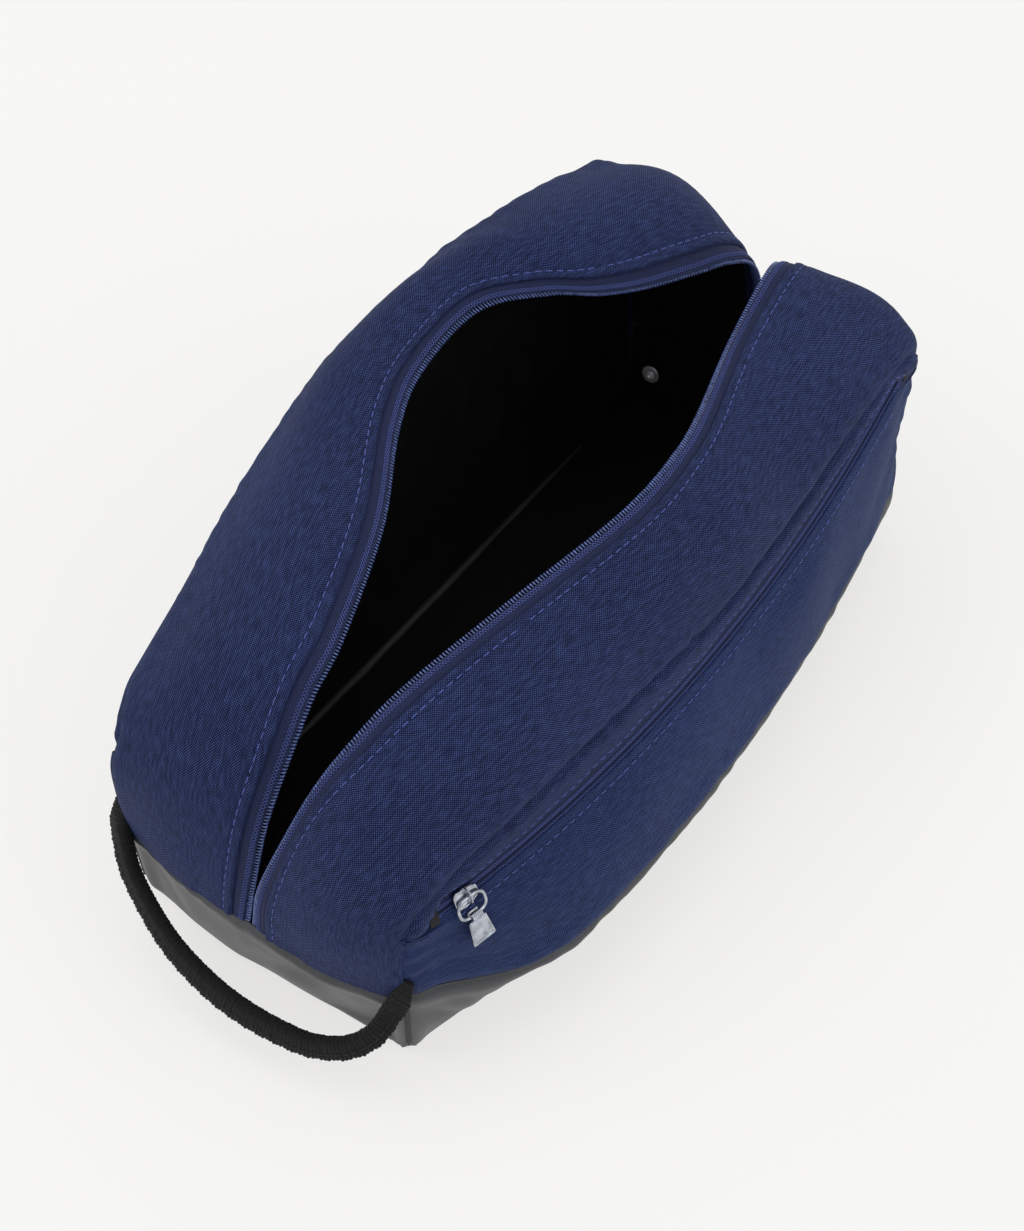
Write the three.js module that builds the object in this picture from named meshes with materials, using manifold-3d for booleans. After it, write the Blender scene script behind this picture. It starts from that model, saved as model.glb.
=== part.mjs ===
// Shoe bag: soft rectangular bag, a full-length zip over the top (drawn open), a zipped front pocket,
// a coated base band and a webbing handle loop at one end.
// Frame (mm): origin on the floor under the middle of the base, +X from the handle end to the far end,
// -Y the pocket side (front), +Z up.
import * as THREE from 'three';
import { mergeVertices } from 'three/addons/utils/BufferGeometryUtils.js';
import Module from 'manifold-3d';

const wasm = await Module();
wasm.setup();

// ---------------------------------------------------------------- driving dimensions (mm)
const BASE_LX = 172;          // half length of the base
const BASE_LY = 68;           // half width of the base at its ends
const BASE_BOW = -3;          // the long base edges draw in a little between the corners
const BAND_H = 46;            // height of the coated band
const SHELL_T = 2.4;          // outer fabric with its padding
const LINING_T = 0.8;
const BOARD_T = 1.8;
const GUSSET_W = 74;          // one half of the top gusset, seam to zip, measured along the cloth
const FABRIC_END = 0.90;      // share of the gusset half taken by cloth before the zip tape shows
const COIL_R = 1.3;           // main zip coil
const TAPE_T = 0.8;
const BACK_BULGE = 16;          // fullness of the back panel
const FRONT_BULGE = [0,17.5,19.6,19.4,17.2,15.2,12.8,8.2,0].map((x) => [x]);   // fullness of the pocket side, ends to middle, handle end first
const HANDLE_R = 3.7;         // webbing folded round its cord core
const CORE_R = 2.0;
const LIP_U0 = 6.0, LIP_U1_F = 10.8, LIP_U1_B = 11.5;   // stretch of each gusset half that folds as a lip
const POCKET_TAPE = 5.0;      // visible half width of the pocket zip
const EYELET = { y: 54, z: 22, holeR: 2.4 };

// seam between side panel and gusset, and zip edge of the gusset, front and back (cm, near end first)
const EF = [[-18.5,-0.15,4.6],[-18.2,-0.3,6.9],[-17.1,-0.8,9.4],[-15.7,-1.3,11.6],[-14.2,-1.9,13.2],[-11.4,-2.4,14.2],[-6.4,-3.4,14.8],[-1.3,-4.3,15.0],[1.1,-4.5,15.0],[3.5,-4.3,14.8],[6.2,-3.7,14.5],[11.45,-1.9,13.76],[16.0,-0.9,13.75],[17.68,-0.55,11.8],[18.12,-0.38,8.8],[18.1,-0.22,4.6]];
const SF = [[-17.6,-7.0,4.6],[-17.7,-7.0,7.0],[-17.3,-7.0,8.9],[-16.2,-7.35,9.93],[-14.4,-7.55,10.42],[-11.4,-7.89,10.62],[-6.4,-8.17,10.7],[-1.4,-8.48,10.72],[1.17,-8.5,10.55],[3.79,-8.4,10.75],[6.46,-8.3,10.92],[11.81,-7.85,11.28],[16.1,-7.5,11.3],[17.5,-7.3,10.5],[17.75,-7.1,8.3],[17.7,-7.0,4.6]];
const EB = [[-18.5,0.15,4.6],[-17.95,0.05,6.6],[-16.8,0.05,9.4],[-14.7,0.2,11.8],[-13.0,0.45,13.2],[-10.9,0.7,14.2],[-6.1,2.5,14.8],[-1.7,4.9,15.2],[1.4,6.1,15.3],[5.3,6.4,15.3],[7.8,4.9,15.0],[9.4,3.3,14.6],[11.4,2.2,14.0],[13.9,1.3,13.4],[15.9,0.8,12.9],[17.5,0.55,11.7],[18.1,0.38,8.8],[18.1,0.22,4.6]];
const SB = [[-17.6,7.0,4.6],[-17.8,7.1,7.0],[-17.6,7.3,9.2],[-16.3,7.62,10.8],[-14.2,7.96,11.41],[-11.2,8.46,11.84],[-6.1,9.46,12.43],[-1.7,10.17,13.05],[1.4,10.32,13.4],[5.3,10.43,13.95],[7.8,10.45,14.45],[9.4,10.2,14.62],[11.4,9.86,14.76],[14.0,9.36,14.76],[15.95,8.95,14.3],[17.3,8.3,12.2],[17.85,7.6,8.5],[17.7,7.0,4.6]];
// crown of each gusset half above its chord (cm), at the same stations
const HF = [0.4,0.7,0.9,1.1,1.1,1.1,1.1,1.1,1.1,1.1,1.15,1.1,0.95,1.0,0.9,0.4];
const HB = [0.4,0.7,0.9,1.2,1.3,1.4,1.6,1.6,1.5,1.6,1.7,1.75,1.8,1.7,1.2,0.7,0.5,0.4];
// pocket zip runs on a circular arc through these three points (cm)
const ZIP_PTS = [[-17.1,-7.1,8.8],[-1.5,-8.8,8.85],[17.0,-7.3,10.75]];
const ZIP_X0 = -158, ZIP_X1 = 160;
// handle centre line (cm)
const HANDLE = [[-17.78,-6.95,5.3],[-18.1,-6.68,4.5],[-18.88,-6.4,3.55],[-19.54,-5.6,2.8],[-19.94,-4.3,2.3],[-20.07,-2.9,2.15],[-20.09,-1.2,2.1],[-20.0,0.6,2.2],[-19.76,2.6,2.5],[-19.35,4.2,2.95],[-18.75,5.75,3.7],[-18.1,6.65,4.55],[-17.78,7.0,5.3]];

// ---------------------------------------------------------------- helpers
const V = (x, y, z) => new THREE.Vector3(x, y, z);
const clamp = (a, lo, hi) => Math.min(Math.max(a, lo), hi);
function spline(P, t) {                       // uniform cubic through control points, any row width
  const n = P.length, i = clamp(Math.floor(t), 0, n - 2), f = t - i;
  const p1 = P[i], p2 = P[i + 1];
  const p0 = i > 0 ? P[i - 1] : p1.map((a, k) => 2 * a - p2[k]);
  const p3 = i < n - 2 ? P[i + 2] : p2.map((a, k) => 2 * a - p1[k]);
  return p1.map((_, k) => {
    const m1 = (p2[k] - p0[k]) / 2, m2 = (p3[k] - p1[k]) / 2;
    return (2*f**3 - 3*f*f + 1) * p1[k] + (f**3 - 2*f*f + f) * m1 + (-2*f**3 + 3*f*f) * p2[k] + (f**3 - f*f) * m2;
  });
}
const cm = (a) => V(a[0] * 10, a[1] * 10, a[2] * 10);
const SIDES = { front: { s: -1, S: SF, E: EF, H: HF }, back: { s: 1, S: SB, E: EB, H: HB } };

function gusset(side, u, v) {                 // u along the strip, v from seam (0) to zip (1)
  const d = SIDES[side], a = cm(spline(d.S, u)), b = cm(spline(d.E, u));
  const h = spline(d.H.map((x) => [x]), u)[0] * 10;
  const c = b.clone().sub(a), m = a.clone().add(b).multiplyScalar(0.5);
  const cen = V(clamp(m.x, -110, 110), 0, Math.abs(m.x) < 140 ? 70 : 60);
  const n = m.sub(cen); n.addScaledVector(c, -n.dot(c) / c.lengthSq()).normalize();
  return a.addScaledVector(c, v).addScaledVector(n, h * 4 * v * (1 - v));
}
function seamAt(side, x) {                    // point of the top seam above station x
  const S = SIDES[side].S; let lo = 2, hi = S.length - 3;
  for (let k = 0; k < 30; k++) { const mid = (lo + hi) / 2; if (spline(S, mid)[0] * 10 < x) lo = mid; else hi = mid; }
  return cm(spline(S, (lo + hi) / 2));
}
// pocket zip arc and its local frame: T along, N out of the panel, B up the panel
const zp = ZIP_PTS.map(cm);
const zAB = zp[1].clone().sub(zp[0]), zAC = zp[2].clone().sub(zp[0]), zN = zAB.clone().cross(zAC);
const zC = zp[0].clone().add(zN.clone().cross(zAB).multiplyScalar(zAC.lengthSq()).add(zAC.clone().cross(zN).multiplyScalar(zAB.lengthSq())).multiplyScalar(1 / (2 * zN.lengthSq())));
const zAxis = zN.clone().normalize();
const zMid = zp[1].clone();
const N0 = V(0, -0.90, 0.44).normalize();
const T0 = zAxis.clone().cross(zMid.clone().sub(zC)).normalize();
const N0p = N0.clone().addScaledVector(T0, -N0.dot(T0)).normalize();
const B0 = N0p.clone().cross(T0).multiplyScalar(-1).normalize();
if (B0.z < 0) B0.multiplyScalar(-1);
function arcPt(phi, n, b) {                   // phi in radians from the middle point
  const q = new THREE.Quaternion().setFromAxisAngle(zAxis, phi);
  const off = zMid.clone().sub(zC).addScaledVector(N0p, n).addScaledVector(B0, b);
  return zC.clone().add(off.applyQuaternion(q));
}
function phiAtX(x) { let lo = -0.5, hi = 0.5; for (let k = 0; k < 40; k++) { const m = (lo + hi) / 2; if (arcPt(m, 0, 0).x < x) lo = m; else hi = m; } return (lo + hi) / 2; }
const PHI0 = phiAtX(ZIP_X0), PHI1 = phiAtX(ZIP_X1);

const baseY = (x) => BASE_LY + BASE_BOW * (1 - (x / BASE_LX) ** 2);
function corner(side, end, w) {               // vertical corner seam, w 0 floor .. 1 top corner
  const S = SIDES[side].S, n = S.length - 1, s = SIDES[side].s;
  const b = V(end * BASE_LX, s * BASE_LY, 0), top = 2.0;
  const uz = w < 0.5 ? 0 : (w - 0.5) / 0.5 * top;
  const k = (u) => cm(spline(S, end < 0 ? u : n - u));
  return w < 0.5 ? b.clone().lerp(k(0), w / 0.5) : k(uz);
}
function sidePanel(side, t, w) {              // t along the bag 0..1, w from floor (0) to its top edge (1)
  const s = SIDES[side].s, x = -BASE_LX + 2 * BASE_LX * t;
  const b = V(x, s * baseY(x), 0);
  let top;
  if (side === 'front') top = arcPt(phiAtX(-170 + 340 * t), 0, -POCKET_TAPE - 0.6);
  else top = seamAt('back', clamp(x * 1.005, -172.9, 172.9));
  const line = b.clone().lerp(top, w);
  const B = side === 'front' ? spline(FRONT_BULGE, t * 8)[0] : BACK_BULGE * Math.max(1 - Math.abs(2 * t - 1) ** 2.6, 0) ** 0.8;
  line.y += s * B * Math.max(Math.sin(Math.PI * Math.min(w, 1) ** (side === 'front' ? 1.15 : 0.8)), 0) ** 0.9;
  // follow the corner seams near the ends
  for (const [end, tt] of [[-1, t], [1, 1 - t]]) {
    const k = Math.max(1 - tt / 0.07, 0) ** 2;
    if (k > 0) {
      const c0 = corner(side, end, Math.min(w, 1)), l0 = corner(side, end, 0).lerp(side === 'front' ? arcPt(phiAtX(end * 170), 0, -POCKET_TAPE - 0.6) : corner(side, end, 1), w);
      const zc = side === 'front' ? clamp(w * 0.94, 0, 1) : w;
      line.addScaledVector(corner(side, end, zc).sub(l0), k);
    }
  }
  return line;
}
const centreOf = (p) => V(clamp(p.x, -110, 110), clamp(p.y, -15, 15), clamp(p.z, 30, 70));
// closed sheet: the outer face follows f(u,v) at the stations us, vs, and the sheet lies o0..o1 inside it;
// both faces are split along the same diagonals, so the thickness holds where the surface twists
function sheet(f, us, vs, o0, o1) {
  const nu = us.length, nv = vs.length, e = 2e-3, pos = [], idx = [];
  const outer = [], inner = [];
  let flip = null;
  for (let i = 0; i < nu; i++) for (let j = 0; j < nv; j++) {
    const a = us[i], b = vs[j], p = f(a, b);
    const du = f(Math.min(a + e, us[nu - 1]), b).sub(f(Math.max(a - e, us[0]), b)), dv = f(a, Math.min(b + e, vs[nv - 1])).sub(f(a, Math.max(b - e, vs[0])));
    const n = du.clone().cross(dv).normalize();
    const sgn = n.dot(p.clone().sub(centreOf(p))) < 0 ? -1 : 1;
    if (flip === null) flip = sgn < 0;
    n.multiplyScalar(sgn);
    outer.push(p.clone().addScaledVector(n, -o0)); inner.push(p.clone().addScaledVector(n, -o1));
  }
  for (const p of [...outer, ...inner]) pos.push(p.x, p.y, p.z);
  const K = nu * nv, id = (i, j, l) => l * K + i * nv + j;
  const quad = (a, b, c, d) => { if (flip) idx.push(a, c, b, a, d, c); else idx.push(a, b, c, a, c, d); };
  for (let i = 0; i < nu - 1; i++) for (let j = 0; j < nv - 1; j++) {
    quad(id(i, j, 0), id(i + 1, j, 0), id(i + 1, j + 1, 0), id(i, j + 1, 0));
    const a = id(i, j, 1), b = id(i + 1, j, 1), c = id(i + 1, j + 1, 1), d = id(i, j + 1, 1);
    if (flip) idx.push(a, b, c, a, c, d); else idx.push(a, c, b, a, d, c);
  }
  for (let i = 0; i < nu - 1; i++) {
    quad(id(i, 0, 1), id(i + 1, 0, 1), id(i + 1, 0, 0), id(i, 0, 0));
    quad(id(i, nv - 1, 0), id(i + 1, nv - 1, 0), id(i + 1, nv - 1, 1), id(i, nv - 1, 1));
  }
  for (let j = 0; j < nv - 1; j++) {
    quad(id(0, j, 0), id(0, j + 1, 0), id(0, j + 1, 1), id(0, j, 1));
    quad(id(nu - 1, j, 1), id(nu - 1, j + 1, 1), id(nu - 1, j + 1, 0), id(nu - 1, j, 0));
  }
  const g = new THREE.BufferGeometry();
  g.setAttribute('position', new THREE.Float32BufferAttribute(pos, 3)); g.setIndex(idx); g.computeVertexNormals();
  return g;
}
// shared stations, so that layers lying on each other bend at the same places
const between = (all, lo, hi) => [lo, ...all.filter((x) => x > lo + 0.25 * (all[1] - all[0]) && x < hi - 0.25 * (all[1] - all[0])), hi];
const TS = [0, 0.03, 0.08, 0.16, 0.28, 0.4, 0.5, 0.6, 0.72, 0.84, 0.92, 0.97, 1];
const SS = [0.028, 0.15, 0.3, 0.42, 0.5, 0.58, 0.7, 0.85, 0.972];
const VS = [0, 0.25, 0.5, 0.75, 1];
function tube(pts, r, sides, steps, hole = 0) {
  const curve = new THREE.CatmullRomCurve3(pts, false, 'centripetal');
  const ring = (rr) => { const o = []; for (let k = 0; k < sides; k++) { const a = 2 * Math.PI * k / sides; o.push(new THREE.Vector2(rr * Math.cos(a), rr * Math.sin(a))); } return o; };
  const shape = new THREE.Shape(ring(r));
  if (hole) shape.holes.push(new THREE.Path(ring(hole).reverse()));
  return new THREE.ExtrudeGeometry(shape, { steps, bevelEnabled: false, extrudePath: curve });
}
function toManifold(g) {
  const h = g.index ? g.clone() : g.clone(); h.deleteAttribute('normal'); if (h.getAttribute('uv')) h.deleteAttribute('uv');
  const m = mergeVertices(h, 1e-4);
  return new wasm.Manifold(new wasm.Mesh({ numProp: 3, vertProperties: new Float32Array(m.getAttribute('position').array), triVerts: new Uint32Array(m.getIndex().array) }));
}
function fromManifold(man) {
  const m = man.getMesh(), g = new THREE.BufferGeometry();
  g.setAttribute('position', new THREE.BufferAttribute(new Float32Array(m.vertProperties), 3));
  g.setIndex(new THREE.BufferAttribute(new Uint32Array(m.triVerts), 1)); g.computeVertexNormals();
  return g;
}
const place = (g, m4) => { g.applyMatrix4(m4); return g; };

// ---------------------------------------------------------------- materials
const mat = (c, r, m = 0) => new THREE.MeshStandardMaterial({ color: c, roughness: r, metalness: m });
const NAVY = () => mat(0x2a3566, 0.85), POCKET = () => mat(0x27366a, 0.75), GREY = () => mat(0x55575a, 0.5), BLACK = () => mat(0x0b0b0d, 0.8), ZIPBLUE = () => mat(0x26305a, 0.6), COIL = () => mat(0x1f2f63, 0.35), METAL = () => mat(0xc4c8cc, 0.3, 1), BOARD = () => mat(0xd8d8d4, 0.6);
const group = new THREE.Group();
function add(name, geometry, material) { const m = new THREE.Mesh(geometry, material); m.name = name; group.add(m); return m; }

// ---------------------------------------------------------------- base
{
  const sh = new THREE.Shape(), N = 8, pts = [], R = 9;
  for (let i = 0; i <= N; i++) { const x = -BASE_LX + R + (2 * BASE_LX - 2 * R) * i / N; pts.push([x, -baseY(x)]); }
  pts.push([BASE_LX - 2.6, -BASE_LY + 2.6], [BASE_LX, -BASE_LY + R], [BASE_LX, BASE_LY - R], [BASE_LX - 2.6, BASE_LY - 2.6]);
  for (let i = N; i >= 0; i--) { const x = -BASE_LX + R + (2 * BASE_LX - 2 * R) * i / N; pts.push([x, baseY(x)]); }
  pts.push([-BASE_LX + 2.6, BASE_LY - 2.6], [-BASE_LX, BASE_LY - R], [-BASE_LX, -BASE_LY + R], [-BASE_LX + 2.6, -BASE_LY + 2.6]);
  const outline = (inset) => pts.map(([x, y]) => new THREE.Vector2(x - Math.sign(x) * inset * Math.min(1, Math.abs(x) / 120), y - Math.sign(y) * inset));
  const plate = (inset, t, z) => place(new THREE.ExtrudeGeometry(new THREE.Shape(outline(inset)), { depth: t, bevelEnabled: false }), new THREE.Matrix4().makeTranslation(0, 0, z));
  add('base_panel', plate(0, SHELL_T, 0), GREY());
  add('base_board', plate(5.5, BOARD_T, SHELL_T + 0.4), BOARD());
  add('lining_floor', plate(7, LINING_T, SHELL_T + BOARD_T + 0.8), BLACK());
}
const W0 = 0.03;
const bandW = (side) => { // share of the panel height taken by the band (near constant along the bag)
  return (t) => BAND_H / sidePanel(side, t, 1).z;
};
for (const side of ['front', 'back']) {
  const bw = bandW(side);
  add(`base_band_${side}`, sheet((t, w) => sidePanel(side, t, W0 + (bw(t) - 0.004 - W0) * w), TS, [0, 0.25, 0.5, 1], 0, SHELL_T), GREY());
}
function endTop(end, s) {
  const side = s < 0.5 ? 'front' : 'back', n = SIDES[side].S.length - 1, v = s < 0.5 ? 2 * s : 2 * (1 - s);
  return gusset(side, end < 0 ? 0 : n, Math.min(v, 1));
}
function endBand(end, s, w) {
  const b = V(end * BASE_LX, -BASE_LY + 2 * BASE_LY * s, 0);
  return b.lerp(endTop(end, s), w);
}
const bandEnd = (end) => sheet((s, w) => endBand(end, s, w), SS, [0.062, 0.5, 0.985], 0, SHELL_T);
const SL = [0.09, 0.15, 0.3, 0.42, 0.5, 0.58, 0.7, 0.85, 0.91];
add('base_band_handle_end', bandEnd(-1), GREY());
{
  // far end band and its lining carry the two vent eyelets
  const band = toManifold(bandEnd(1));
  const lin = toManifold(sheet((s, w) => endBand(1, s, w), SL, [0.17, 0.5, 0.96], 3.6, 3.6 + LINING_T));
  const seat = (sy) => {                       // frame on the band: X out of the wall
    const q = 0.5 + sy * EYELET.y / (2 * BASE_LY), w = EYELET.z / BAND_H, p = endBand(1, q, w);
    const ty = endBand(1, q + 0.02, w).sub(endBand(1, q - 0.02, w)).normalize(), tz = endBand(1, q, w + 0.1).sub(endBand(1, q, w - 0.1)).normalize();
    const n = ty.clone().cross(tz).normalize(); if (n.x < 0) n.negate();
    const z = n.clone().cross(ty).normalize();
    return new THREE.Matrix4().makeBasis(n, ty, z).setPosition(p);
  };
  const drill = (sy) => { const g = new THREE.CylinderGeometry(EYELET.holeR + 0.3, EYELET.holeR + 0.3, 30, 10); g.rotateZ(Math.PI / 2); g.applyMatrix4(seat(sy)); return toManifold(g); };
  const d1 = drill(1), d2 = drill(-1);
  add('base_band_far_end', fromManifold(band.subtract(d1).subtract(d2)), GREY());
  add('lining_far_end', fromManifold(lin.subtract(d1).subtract(d2)), BLACK());
  for (const [nm, sy] of [['eyelet_back', 1], ['eyelet_front', -1]]) {
    const prof = [[1.5, -5.2], [2.05, -5.2], [2.05, 0.6], [4.2, 0.6], [4.2, 1.0], [3.6, 1.5], [1.9, 1.5], [1.5, 1.0], [1.5, -5.2]].map(([r, h]) => new THREE.Vector2(r, h));
    const g = new THREE.LatheGeometry(prof, 12); g.rotateZ(-Math.PI / 2); g.applyMatrix4(seat(sy));
    add(nm, g, METAL());
  }
}
add('lining_handle_end', sheet((s, w) => endBand(-1, s, w), SL, [0.17, 0.5, 0.96], 3.6, 3.6 + LINING_T), BLACK());

// ---------------------------------------------------------------- side panels, pocket, strip
// full-height station list: floor, band in two steps, panel in three
const fullW = (side, t, w) => { const bw = bandW(side)(t), W = [W0, W0 + (bw - W0) / 2, bw, bw + (1 - bw) / 3, bw + (1 - bw) * 2 / 3, 1], i = clamp(Math.floor(w), 0, 4); return W[i] + (W[i + 1] - W[i]) * (w - i); };
const full = (side) => (t, w) => sidePanel(side, t, fullW(side, t, w));
add('side_panel_back', sheet(full('back'), TS, [2.02, 3, 4, 4.98], 0, SHELL_T), NAVY());
add('pocket_panel', sheet(full('front'), TS, [2.02, 3, 4, 4.98], 0, 1.6), POCKET());
const TI = [0.045, 0.08, 0.16, 0.28, 0.4, 0.5, 0.6, 0.72, 0.84, 0.92, 0.955];
add('pocket_inner_wall', sheet(full('front'), TI, [0.5, 1, 2, 3, 4, 4.85], 4.2, 5.2), NAVY());
add('lining_front', sheet(full('front'), TI, [0.5, 1, 2, 3, 4, 4.8], 6.6, 6.6 + LINING_T), BLACK());
add('lining_back', sheet(full('back'), TI, [0.5, 1, 2, 3, 4, 4.8], 4.2, 4.2 + LINING_T), BLACK());
{
  const X = [-146, -118, -92, -60, -30, 0, 30, 60, 92, 120, 142];
  add('front_upper_strip', sheet((i, w) => { const k = clamp(Math.floor(i), 0, X.length - 2), x = X[k] + (X[k + 1] - X[k]) * (i - k); const lo = arcPt(phiAtX(x), 0, POCKET_TAPE + 0.8), hi = seamAt('front', x); return lo.lerp(hi, w * 0.93); }, X.map((_, i) => i), [0, 1], 0, SHELL_T), NAVY());
}

// ---------------------------------------------------------------- gusset halves, main zip tapes and coils
const CUTS = { front: [0.02, LIP_U0, LIP_U1_F, 14.98], back: [0.02, LIP_U0, LIP_U1_B, 16.98] };
const PARTS = ['handle_end', 'lip', 'far_end'];
for (const side of ['front', 'back']) {
  const c = CUTS[side];
  for (let k = 0; k < 3; k++) {
    const u0 = c[k] + (k > 0 ? 0.035 : 0), u1 = c[k + 1] - (k < 2 ? 0.035 : 0);
    const all = Array.from({ length: 18 }, (_, i) => i).filter((i) => i > u0 + 0.3 && i < u1 - 0.3);
    const us = [u0, ...all, u1], v0 = k === 1 ? 0.07 : 0.045, G = (a, b) => gusset(side, a, b);
    add(`gusset_${side}_${PARTS[k]}`, sheet(G, us, [v0, 0.3, 0.6, FABRIC_END], 0, SHELL_T), NAVY());
    add(`lining_${side}_${PARTS[k]}`, sheet(G, [u0 + (k === 0 ? 0.28 : 0.1), ...all.filter((i) => i > u0 + 0.6 && i < u1 - 0.6), u1 - (k === 2 ? 0.28 : 0.1)], [0.13, 0.3, 0.6, 0.87], 5.2, 5.2 + LINING_T), BLACK());
    add(`zip_tape_${side}_${PARTS[k]}`, sheet(G, us, [FABRIC_END + 0.008, 0.975], 0.3, 0.3 + TAPE_T), ZIPBLUE());
    add(`zip_coil_${side}_${PARTS[k]}`, sheet(G, [u0 + (k === 0 ? 0.06 : 0), ...all, u1 - (k === 2 ? 0.06 : 0)], [1 - COIL_R / GUSSET_W, 1 + COIL_R / GUSSET_W], -0.3, 2 * COIL_R - 0.3), COIL());
  }
}

// ---------------------------------------------------------------- main slider and its pull, parked at the bottom of the far end
{
  const X = 181, Z = 56;                      // zip face at the far end, slider height
  const shape = (o) => new THREE.Shape(o.map(([a, b]) => new THREE.Vector2(a, b)));
  const plate = (o, x0, d) => { const g = new THREE.ExtrudeGeometry(shape(o), { depth: d, bevelEnabled: false }); g.applyMatrix4(new THREE.Matrix4().makeBasis(V(0, 1, 0), V(0, 0, 1), V(1, 0, 0))); g.translate(x0, 0, Z); return g; };
  const outline = [[-3.4, -5.5], [3.4, -5.5], [4.6, -1], [5.2, 4.2], [3.2, 6], [-3.2, 6], [-5.2, 4.2], [-4.6, -1]];
  let m = toManifold(plate(outline, X + 0.8, 1.0)).add(toManifold(plate(outline, X - 3.8, 1.0)));
  m = m.add(toManifold(plate([[-1.0, 1.5], [1.0, 1.5], [0.9, 5.5], [-0.9, 5.5]], X - 3.3, 4.6)));
  const br = shape([[0, -4.2], [3.2, -3.4], [3.2, 3.4], [0, 4.2]]);
  br.holes.push(new THREE.Path([[0.4, -2.8], [0.4, 2.8], [2.2, 2.4], [2.2, -2.4]].map(([a, b]) => new THREE.Vector2(a, b))));
  const bg = new THREE.ExtrudeGeometry(br, { depth: 2.4, bevelEnabled: false });
  bg.applyMatrix4(new THREE.Matrix4().makeBasis(V(1, 0, 0), V(0, 0, 1), V(0, -1, 0))); bg.translate(X + 1.6, 1.2, Z);
  add('main_slider', fromManifold(m.add(toManifold(bg))), METAL());
  // pull: a flat tab whose cross bar lies in the slider's bridge
  const tab = shape([[-2.6, 0.6], [-3.4, -4], [-3.9, -25], [-2.6, -27], [2.6, -27], [3.9, -25], [3.4, -4], [2.6, 0.6]]);
  tab.holes.push(new THREE.Path([[-1.6, -0.6], [1.6, -0.6], [1.6, -5.4], [-1.6, -5.4]].map(([a, b]) => new THREE.Vector2(a, b))));
  const tg = new THREE.ExtrudeGeometry(tab, { depth: 1.1, bevelEnabled: false });
  tg.applyMatrix4(new THREE.Matrix4().makeBasis(V(0, 1, 0), V(0, 0, 1), V(1, 0, 0)));
  tg.translate(X + 2.35, 0, Z); add('main_pull', tg, METAL());
}

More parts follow.
